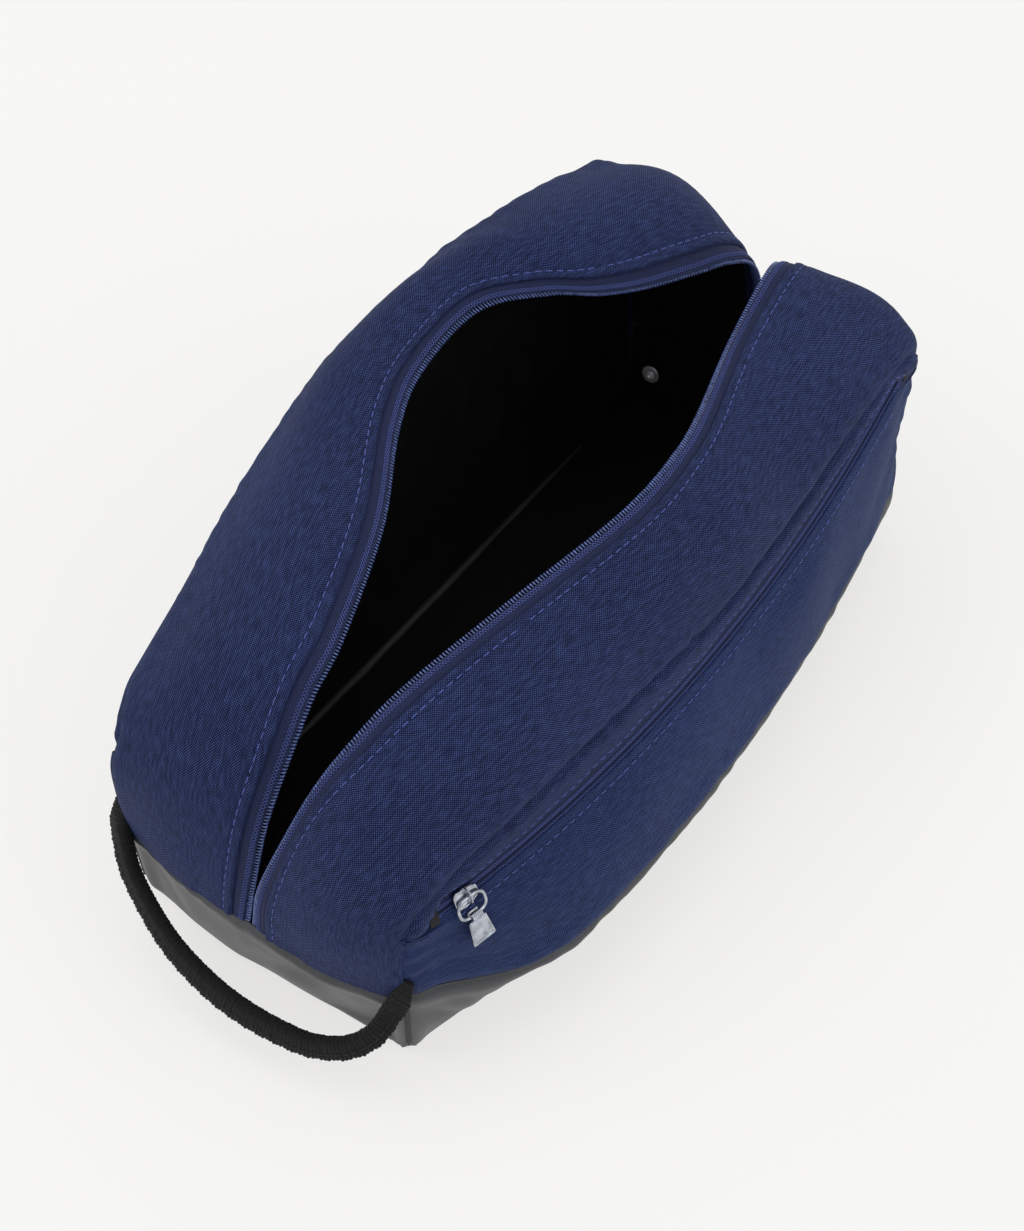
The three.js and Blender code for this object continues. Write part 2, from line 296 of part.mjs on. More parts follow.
// ---------------------------------------------------------------- pocket zip
{
  const N = 18, arcSheet = (n0, n1, b0, b1, p0 = PHI0, p1 = PHI1, steps = N) => {
    const g = new THREE.BoxGeometry(1, 1, 1, steps, 1, 1), pos = g.getAttribute('position');
    for (let i = 0; i < pos.count; i++) {
      const p = arcPt(p0 + (p1 - p0) * (pos.getX(i) + 0.5), pos.getZ(i) > 0 ? n1 : n0, pos.getY(i) > 0 ? b1 : b0);
      pos.setXYZ(i, p.x, p.y, p.z);
    }
    g.deleteAttribute('normal'); g.deleteAttribute('uv');
    const m = mergeVertices(g, 1e-4); m.computeVertexNormals(); return m;
  };
  add('pocket_tape_upper', arcSheet(-0.9, -0.1, 1.3, POCKET_TAPE), ZIPBLUE());
  add('pocket_tape_lower', arcSheet(-0.9, -0.1, -POCKET_TAPE, -1.3), ZIPBLUE());
  add('pocket_coil_upper', arcSheet(-2.7, -1.2, 1.3, 2.7), COIL());
  add('pocket_coil_lower', arcSheet(-2.7, -1.2, -2.7, -1.3), COIL());
  const dz = 0.0035;
  add('pocket_stop_handle_end', arcSheet(-1.1, 0.3, -POCKET_TAPE + 1.6, POCKET_TAPE - 0.4, PHI0 - 2.4 * dz, PHI0 - 0.2 * dz, 1), ZIPBLUE());
  add('pocket_stop_far_end', arcSheet(-1.1, 0.3, -POCKET_TAPE + 0.4, POCKET_TAPE - 0.4, PHI1 + 0.2 * dz, PHI1 + 2.4 * dz, 1), ZIPBLUE());
  // slider: in its local frame x = along the zip (towards the far end), y = up the panel, z = out
  const pSl = PHI0 + 0.016;
  const q = new THREE.Quaternion().setFromAxisAngle(zAxis, pSl);
  const T = T0.clone().applyQuaternion(q), B = B0.clone().applyQuaternion(q), NN = N0p.clone().applyQuaternion(q);
  const sgn = T.clone().cross(B).dot(NN) > 0 ? 1 : -1;
  const M = new THREE.Matrix4().makeBasis(T, B.clone(), NN).setPosition(arcPt(pSl, 0, 0));
  if (sgn < 0) throw new Error('pocket frame is left handed');
  const ex = (o, z0, d) => { const g = new THREE.ExtrudeGeometry(new THREE.Shape(o.map(([a, b]) => new THREE.Vector2(a, b))), { depth: d, bevelEnabled: false }); g.translate(0, 0, z0); return g; };
  const body = [[-6, -3], [-4.6, -4], [3.6, -3], [5.6, -1.8], [5.6, 1.8], [3.6, 3], [-4.6, 4], [-6, 3]];
  let m = toManifold(ex(body, 0.35, 1.3)).add(toManifold(ex(body, -4.3, 1.1))).add(toManifold(ex([[-5, -0.8], [-1, -0.8], [-1, 0.8], [-5, 0.8]], -3.6, 4.2)));
  const ccw = (o) => new THREE.Shape(o.map(([a, b]) => new THREE.Vector2(a, b)));
  const br = ccw([[-3.4, 0], [3.4, 0], [2.7, 3.2], [-2.7, 3.2]]);
  br.holes.push(new THREE.Path([[-2.1, 0.5], [2.1, 0.5], [1.7, 2.3], [-1.7, 2.3]].map(([a, b]) => new THREE.Vector2(a, b)).reverse()));
  const bg = new THREE.ExtrudeGeometry(br, { depth: 2.2, bevelEnabled: false });   // outline in (y, z), along x
  bg.applyMatrix4(new THREE.Matrix4().makeBasis(V(0, 1, 0), V(0, 0, 1), V(1, 0, 0))); bg.translate(-1.1, 0, 1.4);
  m = m.add(toManifold(bg));
  add('pocket_slider', place(fromManifold(m), M), METAL());
  // pull ring through the bridge, hanging down the panel
  const rs = ccw([[3.6, 0.65], [-3.6, 0.65], [-6.2, -0.8], [-7.2, -4.2], [-6.2, -7.4], [-4.4, -8.95], [4.4, -8.95], [6.2, -7.4], [7.2, -4.2], [6.2, -0.8]]);
  rs.holes.push(new THREE.Path([[3.2, -0.65], [-3.2, -0.65], [-5.0, -1.7], [-5.8, -4.2], [-5.0, -6.7], [-3.8, -7.65], [3.8, -7.65], [5.0, -6.7], [5.8, -4.2], [5.0, -1.7]].map(([a, b]) => new THREE.Vector2(a, b)).reverse()));
  const rg = new THREE.ExtrudeGeometry(rs, { depth: 1.0, bevelEnabled: false });
  rg.translate(0, 0, 2.3); rg.applyMatrix4(M); add('pocket_ring', rg, METAL());
  // tab with a rolled eye round the ring's lower bar
  const oct = (r, n = 8) => Array.from({ length: n }, (_, i) => [r * Math.cos(2 * Math.PI * (i + 0.5) / n), r * Math.sin(2 * Math.PI * (i + 0.5) / n)]);
  const eye = ccw(oct(1.95)); eye.holes.push(new THREE.Path(oct(1.15).map(([a, b]) => new THREE.Vector2(a, b)).reverse()));
  const eg = new THREE.ExtrudeGeometry(eye, { depth: 5.4, bevelEnabled: false });   // outline in (y, z), along x
  eg.applyMatrix4(new THREE.Matrix4().makeBasis(V(0, 1, 0), V(0, 0, 1), V(1, 0, 0))); eg.translate(-2.7, -8.3, 2.8);
  const tb = ex([[-5.6, -20.4], [5.6, -20.4], [4.1, -9.75], [-4.1, -9.75]], 2.6, 0.9);
  add('pocket_pull', place(fromManifold(toManifold(eg).add(toManifold(tb))), M), METAL());
}

// ---------------------------------------------------------------- handle
{
  const P = HANDLE.map(cm), L = P.length;
  const curve = new THREE.CatmullRomCurve3(P, false, 'centripetal');
  const cut = (a, b, n) => { const o = []; for (let i = 0; i <= n; i++) o.push(curve.getPointAt(a + (b - a) * i / n)); return o; };
  add('handle_webbing', tube(cut(0.095, 0.905, 20), HANDLE_R, 8, 26, CORE_R + 0.5), BLACK());
  add('handle_core', tube(cut(0.1, 0.9, 16), CORE_R, 6, 20), BLACK());
  add('handle_tail_front', tube(cut(0.014, 0.045, 3), 1.9, 6, 3), BLACK());
  add('handle_tail_back', tube(cut(0.955, 0.986, 3), 1.9, 6, 3), BLACK());
}
export default group;
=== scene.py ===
import math
import bpy
import bmesh
import numpy as np
from mathutils import Matrix, Vector, noise


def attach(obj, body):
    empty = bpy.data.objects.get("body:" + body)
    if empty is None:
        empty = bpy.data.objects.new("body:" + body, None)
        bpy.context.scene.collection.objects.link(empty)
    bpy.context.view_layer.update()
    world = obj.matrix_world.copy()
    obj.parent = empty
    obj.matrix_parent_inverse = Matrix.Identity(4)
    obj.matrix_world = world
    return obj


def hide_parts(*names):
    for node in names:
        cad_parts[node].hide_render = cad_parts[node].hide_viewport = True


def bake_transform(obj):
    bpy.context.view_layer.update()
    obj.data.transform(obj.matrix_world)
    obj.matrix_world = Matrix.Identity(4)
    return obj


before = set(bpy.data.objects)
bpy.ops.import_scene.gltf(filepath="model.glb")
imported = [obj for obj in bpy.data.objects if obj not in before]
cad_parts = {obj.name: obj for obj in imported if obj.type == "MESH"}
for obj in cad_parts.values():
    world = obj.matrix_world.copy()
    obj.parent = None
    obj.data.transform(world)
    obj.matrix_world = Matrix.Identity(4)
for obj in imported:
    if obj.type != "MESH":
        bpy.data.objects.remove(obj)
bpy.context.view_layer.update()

# ------------------------------------------------------------------ camera (set first)
DIST = 1.23
TARGET = Vector((-0.0147, -0.0019, 0.070))
cam_data = bpy.data.cameras.new("camera")
cam = bpy.data.objects.new("camera", cam_data)
bpy.context.scene.collection.objects.link(cam)
to_cam = Vector((-0.5105, -0.3750, 0.7738)).normalized()
cam.location = TARGET + to_cam * DIST
cam.rotation_euler = (-to_cam).to_track_quat("-Z", "Y").to_euler()
cam_data.sensor_fit = "AUTO"
cam_data.sensor_width = 36.0
cam_data.lens = 3000 / 1231 * 36.0
cam_data.clip_start, cam_data.clip_end = 0.05, 20
bpy.context.scene.camera = cam

# ------------------------------------------------------------------ the surface of the bag (mm, as in the CAD)
BASE_LX, BASE_LY, BASE_BOW, BAND_H = 172.0, 68.0, -3.0, 46.0
GUSSET_W, FABRIC_END, COIL_R = 74.0, 0.90, 1.3
FRONT_BULGE, BACK_BULGE = np.array([0,17.5,19.6,19.4,17.2,15.2,12.8,8.2,0], float)[:, None], 16.0
HANDLE_R = 4.8
LIP_U0, LIP_U1 = 6.0, {"front": 10.8, "back": 11.5}
POCKET_TAPE = 5.0
EF = [[-18.5,-0.15,4.6],[-18.2,-0.3,6.9],[-17.1,-0.8,9.4],[-15.7,-1.3,11.6],[-14.2,-1.9,13.2],[-11.4,-2.4,14.2],[-6.4,-3.4,14.8],[-1.3,-4.3,15.0],[1.1,-4.5,15.0],[3.5,-4.3,14.8],[6.2,-3.7,14.5],[11.45,-1.9,13.76],[16.0,-0.9,13.75],[17.68,-0.55,11.8],[18.12,-0.38,8.8],[18.1,-0.22,4.6]]
SF = [[-17.6,-7.0,4.6],[-17.7,-7.0,7.0],[-17.3,-7.0,8.9],[-16.2,-7.35,9.93],[-14.4,-7.55,10.42],[-11.4,-7.89,10.62],[-6.4,-8.17,10.7],[-1.4,-8.48,10.72],[1.17,-8.5,10.55],[3.79,-8.4,10.75],[6.46,-8.3,10.92],[11.81,-7.85,11.28],[16.1,-7.5,11.3],[17.5,-7.3,10.5],[17.75,-7.1,8.3],[17.7,-7.0,4.6]]
EB = [[-18.5,0.15,4.6],[-17.95,0.05,6.6],[-16.8,0.05,9.4],[-14.7,0.2,11.8],[-13.0,0.45,13.2],[-10.9,0.7,14.2],[-6.1,2.5,14.8],[-1.7,4.9,15.2],[1.4,6.1,15.3],[5.3,6.4,15.3],[7.8,4.9,15.0],[9.4,3.3,14.6],[11.4,2.2,14.0],[13.9,1.3,13.4],[15.9,0.8,12.9],[17.5,0.55,11.7],[18.1,0.38,8.8],[18.1,0.22,4.6]]
SB = [[-17.6,7.0,4.6],[-17.8,7.1,7.0],[-17.6,7.3,9.2],[-16.3,7.62,10.8],[-14.2,7.96,11.41],[-11.2,8.46,11.84],[-6.1,9.46,12.43],[-1.7,10.17,13.05],[1.4,10.32,13.4],[5.3,10.43,13.95],[7.8,10.45,14.45],[9.4,10.2,14.62],[11.4,9.86,14.76],[14.0,9.36,14.76],[15.95,8.95,14.3],[17.3,8.3,12.2],[17.85,7.6,8.5],[17.7,7.0,4.6]]
HF = [0.4,0.7,0.9,1.1,1.1,1.1,1.1,1.1,1.1,1.1,1.15,1.1,0.95,1.0,0.9,0.4]
HB = [0.4,0.7,0.9,1.2,1.3,1.4,1.6,1.6,1.5,1.6,1.7,1.75,1.8,1.7,1.2,0.7,0.5,0.4]
ZIP_PTS = [[-17.1,-7.1,8.8],[-1.5,-8.8,8.85],[17.0,-7.3,10.75]]
ZIP_X0, ZIP_X1 = -158.0, 160.0
HANDLE = [[-17.78,-6.95,5.3],[-18.1,-6.68,4.5],[-18.88,-6.4,3.55],[-19.54,-5.6,2.8],[-19.94,-4.3,2.3],[-20.07,-2.9,2.15],[-20.09,-1.2,2.1],[-20.0,0.6,2.2],[-19.76,2.6,2.5],[-19.35,4.2,2.95],[-18.75,5.75,3.7],[-18.1,6.65,4.55],[-17.78,7.0,5.3]]
SIDE = {"front": dict(s=-1, S=np.array(SF), E=np.array(EF), H=np.array(HF)[:, None]),
        "back": dict(s=1, S=np.array(SB), E=np.array(EB), H=np.array(HB)[:, None])}


def spline(P, t):
    """cubic through the rows of P at t (array), uniform parameters"""
    P, t = np.asarray(P, float), np.atleast_1d(np.asarray(t, float))
    n = len(P)
    i = np.clip(np.floor(t).astype(int), 0, n - 2)
    f = (t - i)[:, None]
    ext = np.vstack([2 * P[0] - P[1], P, 2 * P[-1] - P[-2]])
    p0, p1, p2, p3 = ext[i], ext[i + 1], ext[i + 2], ext[i + 3]
    m1, m2 = (p2 - p0) / 2, (p3 - p1) / 2
    return (2*f**3 - 3*f*f + 1) * p1 + (f**3 - 2*f*f + f) * m1 + (-2*f**3 + 3*f*f) * p2 + (f**3 - f*f) * m2


def unit(v):
    return v / np.maximum(np.linalg.norm(v, axis=-1, keepdims=True), 1e-12)


def gusset(side, u, v):
    """u, v arrays of one shape -> points (N,3)"""
    d = SIDE[side]
    a, b, h = spline(d["S"], u) * 10, spline(d["E"], u) * 10, spline(d["H"], u) * 10
    c, m = b - a, (a + b) / 2
    cen = np.stack([np.clip(m[:, 0], -110, 110), np.zeros(len(m)), np.where(np.abs(m[:, 0]) < 140, 70.0, 60.0)], 1)
    n = m - cen
    n = unit(n - c * (n * c).sum(1, keepdims=True) / (c * c).sum(1, keepdims=True))
    v = np.atleast_1d(v)[:, None]
    return a + c * v + n * h * 4 * v * (1 - v)


# ---- pocket zip arc: T along, N out, B up the panel
zp = np.array(ZIP_PTS) * 10
zAB, zAC = zp[1] - zp[0], zp[2] - zp[0]
zN = np.cross(zAB, zAC)
zC = zp[0] + (np.cross(zN, zAB) * (zAC @ zAC) + np.cross(zAC, zN) * (zAB @ zAB)) / (2 * (zN @ zN))
zAxis = unit(zN)
T0 = unit(np.cross(zAxis, zp[1] - zC))
N0 = np.array((0, -0.90, 0.44)); N0 = unit(N0); N0p = unit(N0 - T0 * (N0 @ T0))
B0 = -unit(np.cross(N0p, T0))
if B0[2] < 0:
    B0 = -B0


def rot(vec, phi):
    """vec turned about the arc's axis by phi (array)"""
    c, s = np.cos(phi)[:, None], np.sin(phi)[:, None]
    vec = np.broadcast_to(vec, (len(phi), 3))
    return vec * c + np.cross(zAxis, vec) * s + zAxis * (vec @ zAxis)[:, None] * (1 - c)


def arc_pt(phi, n, b):
    phi = np.atleast_1d(np.asarray(phi, float))
    n, b = np.broadcast_to(n, phi.shape)[:, None], np.broadcast_to(b, phi.shape)[:, None]
    off = (zp[1] - zC) + N0p * n + B0 * b
    c, s = np.cos(phi)[:, None], np.sin(phi)[:, None]
    return zC + off * c + np.cross(zAxis, off) * s + zAxis * (off @ zAxis)[:, None] * (1 - c)


def arc_frame(phi):
    phi = np.atleast_1d(np.asarray(phi, float))
    return rot(T0, phi), rot(N0p, phi), rot(B0, phi)


_ph = np.linspace(-0.5, 0.5, 4001)
_px = arc_pt(_ph, 0, 0)[:, 0]


def phi_at_x(x):
    return np.interp(x, _px, _ph)


PHI0, PHI1 = float(phi_at_x(ZIP_X0)), float(phi_at_x(ZIP_X1))
SLIDER_PHI = PHI0 + 0.016


def seam_at(side, x):
    S = SIDE[side]["S"]
    us = np.linspace(2, len(S) - 3, 3000)
    pts = spline(S, us) * 10
    ui = np.interp(np.atleast_1d(x), pts[:, 0], us)
    return spline(S, ui) * 10


def base_y(x):
    return BASE_LY + BASE_BOW * (1 - (x / BASE_LX) ** 2)


def corner(side, end, w):
    S = SIDE[side]["S"]; n = len(S) - 1; s = SIDE[side]["s"]
    w = np.atleast_1d(w)
    b = np.array((end * BASE_LX, s * BASE_LY, 0.0))
    uz = np.clip((w - 0.5) / 0.5, 0, None) * 2.0
    k0 = (S[0] if end < 0 else S[n]) * 10
    top = spline(S, uz if end < 0 else n - uz) * 10
    return np.where((w < 0.5)[:, None], b + (k0 - b) * (w / 0.5)[:, None], top)


def side_panel(side, t, w):
    """t along the bag 0..1, w from the floor (0) to the top edge (1)"""
    t, w = np.broadcast_arrays(np.atleast_1d(np.asarray(t, float)), np.atleast_1d(np.asarray(w, float)))
    s = SIDE[side]["s"]
    x = -BASE_LX + 2 * BASE_LX * t
    b = np.stack([x, s * base_y(x), 0 * x], 1)
    if side == "front":
        top = arc_pt(phi_at_x(-170 + 340 * t), 0, -POCKET_TAPE - 0.6)
    else:
        top = seam_at("back", np.clip(x * 1.005, -172.9, 172.9))
    line = b + (top - b) * w[:, None]
    B = spline(FRONT_BULGE, t * 8)[:, 0] if side == "front" else BACK_BULGE * np.maximum(1 - np.abs(2 * t - 1) ** 2.6, 0) ** 0.8
    line[:, 1] += s * B * np.maximum(np.sin(np.pi * np.clip(w, 0, 1) ** (1.15 if side == "front" else 0.8)), 0) ** 0.9
    for end, tt in ((-1, t), (1, 1 - t)):
        k = np.maximum(1 - tt / 0.07, 0) ** 2
        c0 = corner(side, end, np.zeros(1))
        if side == "front":
            c1 = arc_pt(phi_at_x(np.array([end * 170.0])), 0, -POCKET_TAPE - 0.6)
        else:
            c1 = corner(side, end, np.ones(1))
        l0 = c0 + (c1 - c0) * w[:, None]
        zc = np.clip(w * 0.94, 0, 1) if side == "front" else w
        line = line + (corner(side, end, np.minimum(zc, 1)) - l0) * k[:, None]
    return line


def band_w(side, t):
    return BAND_H / side_panel(side, t, 1.0)[:, 2]


def end_band(end, s, w):
    """end wall of the coated band: s across 0 (front) .. 1 (back), w from the floor to its top seam"""
    s, w = np.broadcast_arrays(np.atleast_1d(np.asarray(s, float)), np.atleast_1d(np.asarray(w, float)))
    b = np.stack([np.full(len(s), end * BASE_LX), -BASE_LY + 2 * BASE_LY * s, 0 * s], 1)
    top = np.zeros((len(s), 3))
    for side in ("front", "back"):
        m = s < 0.5 if side == "front" else s >= 0.5
        if m.any():
            n = len(SIDE[side]["S"]) - 1
            v = np.clip(2 * s[m] if side == "front" else 2 * (1 - s[m]), 0, 1)
            top[m] = gusset(side, np.full(m.sum(), 0.0 if end < 0 else float(n)), v)
    return b + (top - b) * w[:, None]


# ------------------------------------------------------------------ helpers
MM = 0.001
CENTRE = np.array((0.0, 0.0, 60.0))
rng = np.random.default_rng(7)


def waves(P, wl, seed, k=9, squeeze=(1, 1, 1)):
    """soft random undulation of about unit height over points P (mm)"""
    r = np.random.default_rng(seed)
    d = unit(r.normal(size=(k, 3))) * np.array(squeeze)
    f = 2 * np.pi / (wl * r.uniform(0.75, 1.35, k))
    ph = r.uniform(0, 2 * np.pi, k)
    q = P @ (d * f[:, None]).T + ph
    return np.sin(q).sum(-1) * math.sqrt(2.0 / k) * 0.7


def seg_fold(P, a, b, width, depth):
    """soft valley (depth > 0) or ridge (depth < 0) along the line a-b, fading at both ends"""
    a, b = np.array(a, float), np.array(b, float)
    ab = b - a
    t = np.clip(((P - a) @ ab) / (ab @ ab), -0.3, 1.3)
    d = np.linalg.norm(P - (a + t[..., None] * ab), axis=-1)
    ends = np.clip(np.sin(np.pi * np.clip((t + 0.1) / 1.2, 0, 1)), 0, 1) ** 0.8
    return -depth * np.exp(-(d / width) ** 2) * ends


def normals_of(P, outward=True):
    n = unit(np.cross(np.gradient(P, axis=0), np.gradient(P, axis=1)))
    c = np.stack([np.clip(P[..., 0], -110, 110), np.clip(P[..., 1], -15, 15), np.clip(P[..., 2], 30, 70)], -1)
    if ((n * (P - c)).sum(-1)).mean() < 0:
        n = -n
    return n


def arclen(P):
    """cumulative length along rows and columns of a grid, metres"""
    nu, nv = P.shape[:2]
    du = np.linalg.norm(np.diff(P, axis=0), axis=-1)
    dv = np.linalg.norm(np.diff(P, axis=1), axis=-1)
    su = np.concatenate([np.zeros(1), np.cumsum(du.mean(1))])[:, None] * np.ones((1, nv))
    sv = np.concatenate([np.zeros((nu, 1)), np.cumsum(dv, axis=1)], 1)
    return np.stack([su, sv], -1) * MM


def fill(P):
    """how the stuffed bag fills out beyond its sewn pattern: one smooth field for every cloth, so shared seams stay shared"""
    P = np.array(P, float)
    x, y, z = P[..., 0].copy(), P[..., 1].copy(), P[..., 2].copy()
    st = lambda v: (lambda q: q * q * (3 - 2 * q))(np.clip(v, 0, 1))
    g = lambda v, c, r: np.exp(-((v - c) / r) ** 2)
    k = g(x, -55, 75) * st((y - 25) / 50) * st((z - 40) / 50)
    P[..., 1] += 4.8 * k; P[..., 2] += 1.2 * k
    k = g(x, 105, 34) * st((y - 30) / 45) * st((z - 50) / 50)
    P[..., 1] -= 2.6 * k
    k = g(x, 178, 26) * g(y, 56, 24) * st((z - 62) / 45)
    P[..., 0] += 5.6 * k; P[..., 2] += 1.0 * k
    k = g(x, 180, 26) * g(y, -62, 30) * st((z - 60) / 40)
    P[..., 0] += 6.0 * k; P[..., 2] += 1.0 * k
    k = st((-y - 46) / 22) * g(z, 40, 20) * st((x + 150) / 45) * st((180 - x) / 22)
    P[..., 1] -= 7.0 * k * (1 - 0.5 * st((x - 10) / 100))
    k = st((-y - 46) / 22) * g(z, 22, 22) * g(x, -149, 15)
    P[..., 1] -= 5.0 * k
    k = st((-y - 46) / 22) * g(z, 46, 16) * st((x + 168) / 38) * st((186 - x) / 30)
    P[..., 1] -= 2.0 * k; P[..., 2] -= 8.0 * k
    k = g(z, 12, 17) * g(y, 0, 48) * st((-x - 140) / 25)
    P[..., 0] -= 3.6 * k
    P[..., 1] -= 3.0 * g(x, -171, 11) * g(z, 99, 13) * st((y - 55) / 15)
    k = g(x, 150, 24) * g(y, 86, 20) * g(z, 146, 22)
    P[..., 0] += 4.0 * k; P[..., 1] -= 6.0 * k
    d = np.hypot(np.abs(x) - 172, np.abs(y) - 68)
    P[..., 2] += 3.2 * np.exp(-(d / 8.5) ** 2) * np.clip(1 - z / 11, 0, 1)
    return P


def new_obj(name, verts, faces, mat, uvs=None, nrm=None, smooth=True):
    """verts in mm; uvs and nrm per vertex"""
    me = bpy.data.meshes.new(name)
    verts = fill(verts) * MM
    me.from_pydata(verts.tolist(), [], faces if isinstance(faces, list) else faces.tolist())
    me.validate()
    if smooth:
        me.polygons.foreach_set("use_smooth", np.ones(len(me.polygons), bool))
    if uvs is not None:
        layer = me.uv_layers.new(name="UVMap")
        li = np.zeros(len(me.loops), np.int32)
        me.loops.foreach_get("vertex_index", li)
        layer.data.foreach_set("uv", np.asarray(uvs, float)[li].astype(np.float32).ravel())
    if nrm is not None:
        me.normals_split_custom_set_from_vertices(np.asarray(nrm, float).tolist())
    o = bpy.data.objects.new(name, me)
    bpy.context.scene.collection.objects.link(o)
    me.materials.append(mat)
    return o


def grid_faces(nu, nv, off=0, flip=False):
    i, j = np.meshgrid(np.arange(nu - 1), np.arange(nv - 1), indexing="ij")
    a = (i * nv + j).ravel() + off
    q = np.stack([a, a + nv, a + nv + 1, a + 1], 1)
    return q[:, ::-1] if flip else q


def shell(name, P, t, mat, uv=None, n=None, rows=None, o0=0.0):
    """closed sheet: outer face at P (moved in by o0), inner face t further in; rows picks a stretch of the grid"""
    if n is None:
        n = normals_of(P)
    if uv is None:
        uv = arclen(P)
    if rows is not None:
        P, n, uv = P[rows[0]:rows[1] + 1], n[rows[0]:rows[1] + 1], uv[rows[0]:rows[1] + 1]
    nu, nv = P.shape[:2]
    tt = np.asarray(t, float)
    if tt.ndim:
        tt = np.broadcast_to(tt, (nu, nv))[..., None] if tt.ndim < 3 else tt
    A = P - n * o0
    B = A - n * tt
    K = nu * nv
    geo = np.cross(P[min(1, nu - 1), 0] - P[0, 0], P[0, 1] - P[0, 0]) @ n[0, 0]
    fl = geo < 0
    F = [grid_faces(nu, nv, 0, fl), grid_faces(nu, nv, K, not fl)]
    i = np.arange(nu - 1)
    r0, r1 = i * nv, i * nv + nv - 1
    s1 = np.stack([r0, r0 + K, r0 + nv + K, r0 + nv], 1)
    s2 = np.stack([r1, r1 + nv, r1 + nv + K, r1 + K], 1)
    j = np.arange(nv - 1)
    e0, e1 = j, (nu - 1) * nv + j
    s3 = np.stack([e0, e0 + 1, e0 + 1 + K, e0 + K], 1)
    s4 = np.stack([e1, e1 + K, e1 + 1 + K, e1 + 1], 1)
    for s in (s1, s2, s3, s4):
        F.append(s[:, ::-1] if fl else s)
    verts = np.vstack([A.reshape(-1, 3), B.reshape(-1, 3)])
    nn = np.vstack([n.reshape(-1, 3), -n.reshape(-1, 3)])
    uu = np.vstack([uv.reshape(-1, 2), uv.reshape(-1, 2)])
    return new_obj(name, verts, np.vstack(F), mat, uu, nn)


def sweep(name, paths, ref, radius, sides, mat, squash=1.0, closed=False):
    """tubes along paths (M,K,3); ref (M,K,3) is the tube's side that faces out; radius (K,) or number"""
    paths = np.asarray(paths, float)
    ref = np.broadcast_to(np.asarray(ref, float), paths.shape)
    M, K = paths.shape[:2]
    if closed:
        t = unit(np.roll(paths, -1, 1) - np.roll(paths, 1, 1))
    else:
        t = unit(np.gradient(paths, axis=1))
    b = unit(np.cross(t, ref))
    c = unit(np.cross(b, t))
    r = np.broadcast_to(np.asarray(radius, float), (K,))[None, :, None, None]
    th = 2 * np.pi * np.arange(sides) / sides
    ring = b[:, :, None, :] * np.cos(th)[None, None, :, None] + c[:, :, None, :] * (np.sin(th)[None, None, :, None] * squash)
    V = paths[:, :, None, :] + ring * r
    verts = V.reshape(-1, 3)
    F = []
    k = np.arange(K if closed else K - 1)
    s = np.arange(sides)
    kk, ss = np.meshgrid(k, s, indexing="ij")
    a = kk * sides + ss
    b2 = ((kk + 1) % K) * sides + ss
    c2 = ((kk + 1) % K) * sides + (ss + 1) % sides
    d2 = kk * sides + (ss + 1) % sides
    q = np.stack([a.ravel(), d2.ravel(), c2.ravel(), b2.ravel()], 1)
    faces = (q[None] + (np.arange(M) * K * sides)[:, None, None]).reshape(-1, 4).tolist()
    if not closed:
        for m in range(M):
            o = m * K * sides
            faces.append([o + x for x in range(sides)])
            faces.append([o + (K - 1) * sides + x for x in range(sides)][::-1])
    me_uv = np.zeros((len(verts), 2))
    sl = np.concatenate([np.zeros((M, 1)), np.cumsum(np.linalg.norm(np.diff(paths, axis=1), axis=-1), 1)], 1) * MM
    me_uv[:, 0] = np.repeat(sl.reshape(-1), sides)
    me_uv[:, 1] = np.tile(np.arange(sides) / sides * 2 * np.pi * float(np.max(radius)) * MM, M * K)
    return new_obj(name, verts, faces, mat, me_uv)


def resample(line, step=None, n=None, extra=None):
    """points at equal spacing along a dense polyline; extra arrays are carried along"""
    L = np.concatenate([[0], np.cumsum(np.linalg.norm(np.diff(line, axis=0), axis=1))])
    if n is None:
        n = max(2, int(round(L[-1] / step)) + 1)
    s = np.linspace(0, L[-1], n)
    out = np.stack([np.interp(s, L, line[:, i]) for i in range(3)], 1)
    if extra is None:
        return out
    return out, [np.stack([np.interp(s, L, e[:, i]) for i in range(3)], 1) for e in extra]


def stitches(name, line, nrm, mat, length=3.0, gap=1.3, r=0.27, lift=0.12, start=0.0):
    """short threads along a line lying on cloth, each dipping in at both ends"""
    L = np.concatenate([[0], np.cumsum(np.linalg.norm(np.diff(line, axis=0), axis=1))])
    K = 6
    count = int((L[-1] - start) / (length + gap))
    if count < 1:
        return None
    s0 = start + np.arange(count) * (length + gap)
    s = s0[:, None] + np.linspace(0, 1, K)[None, :] * length
    P = np.stack([np.interp(s, L, line[:, i]) for i in range(3)], -1)
    N = unit(np.stack([np.interp(s, L, nrm[:, i]) for i in range(3)], -1))
    h = np.array([-0.55, 0.35, 0.9, 0.9, 0.35, -0.55]) * r
    P = P + N * (h[None, :, None] + lift)
    return sweep(name, P, N, np.array([0.55, 0.95, 1, 1, 0.95, 0.55]) * r, 6, mat, squash=0.8)


def join(name, objs):
    objs = [o for o in objs if o is not None]
    for o in bpy.context.selected_objects:
        o.select_set(False)
    for o in objs:
        o.select_set(True)
    bpy.context.view_layer.objects.active = objs[0]
    if len(objs) > 1:
        bpy.ops.object.join()
    objs[0].name = name
    objs[0].data.name = name
    objs[0].select_set(False)
    return objs[0]


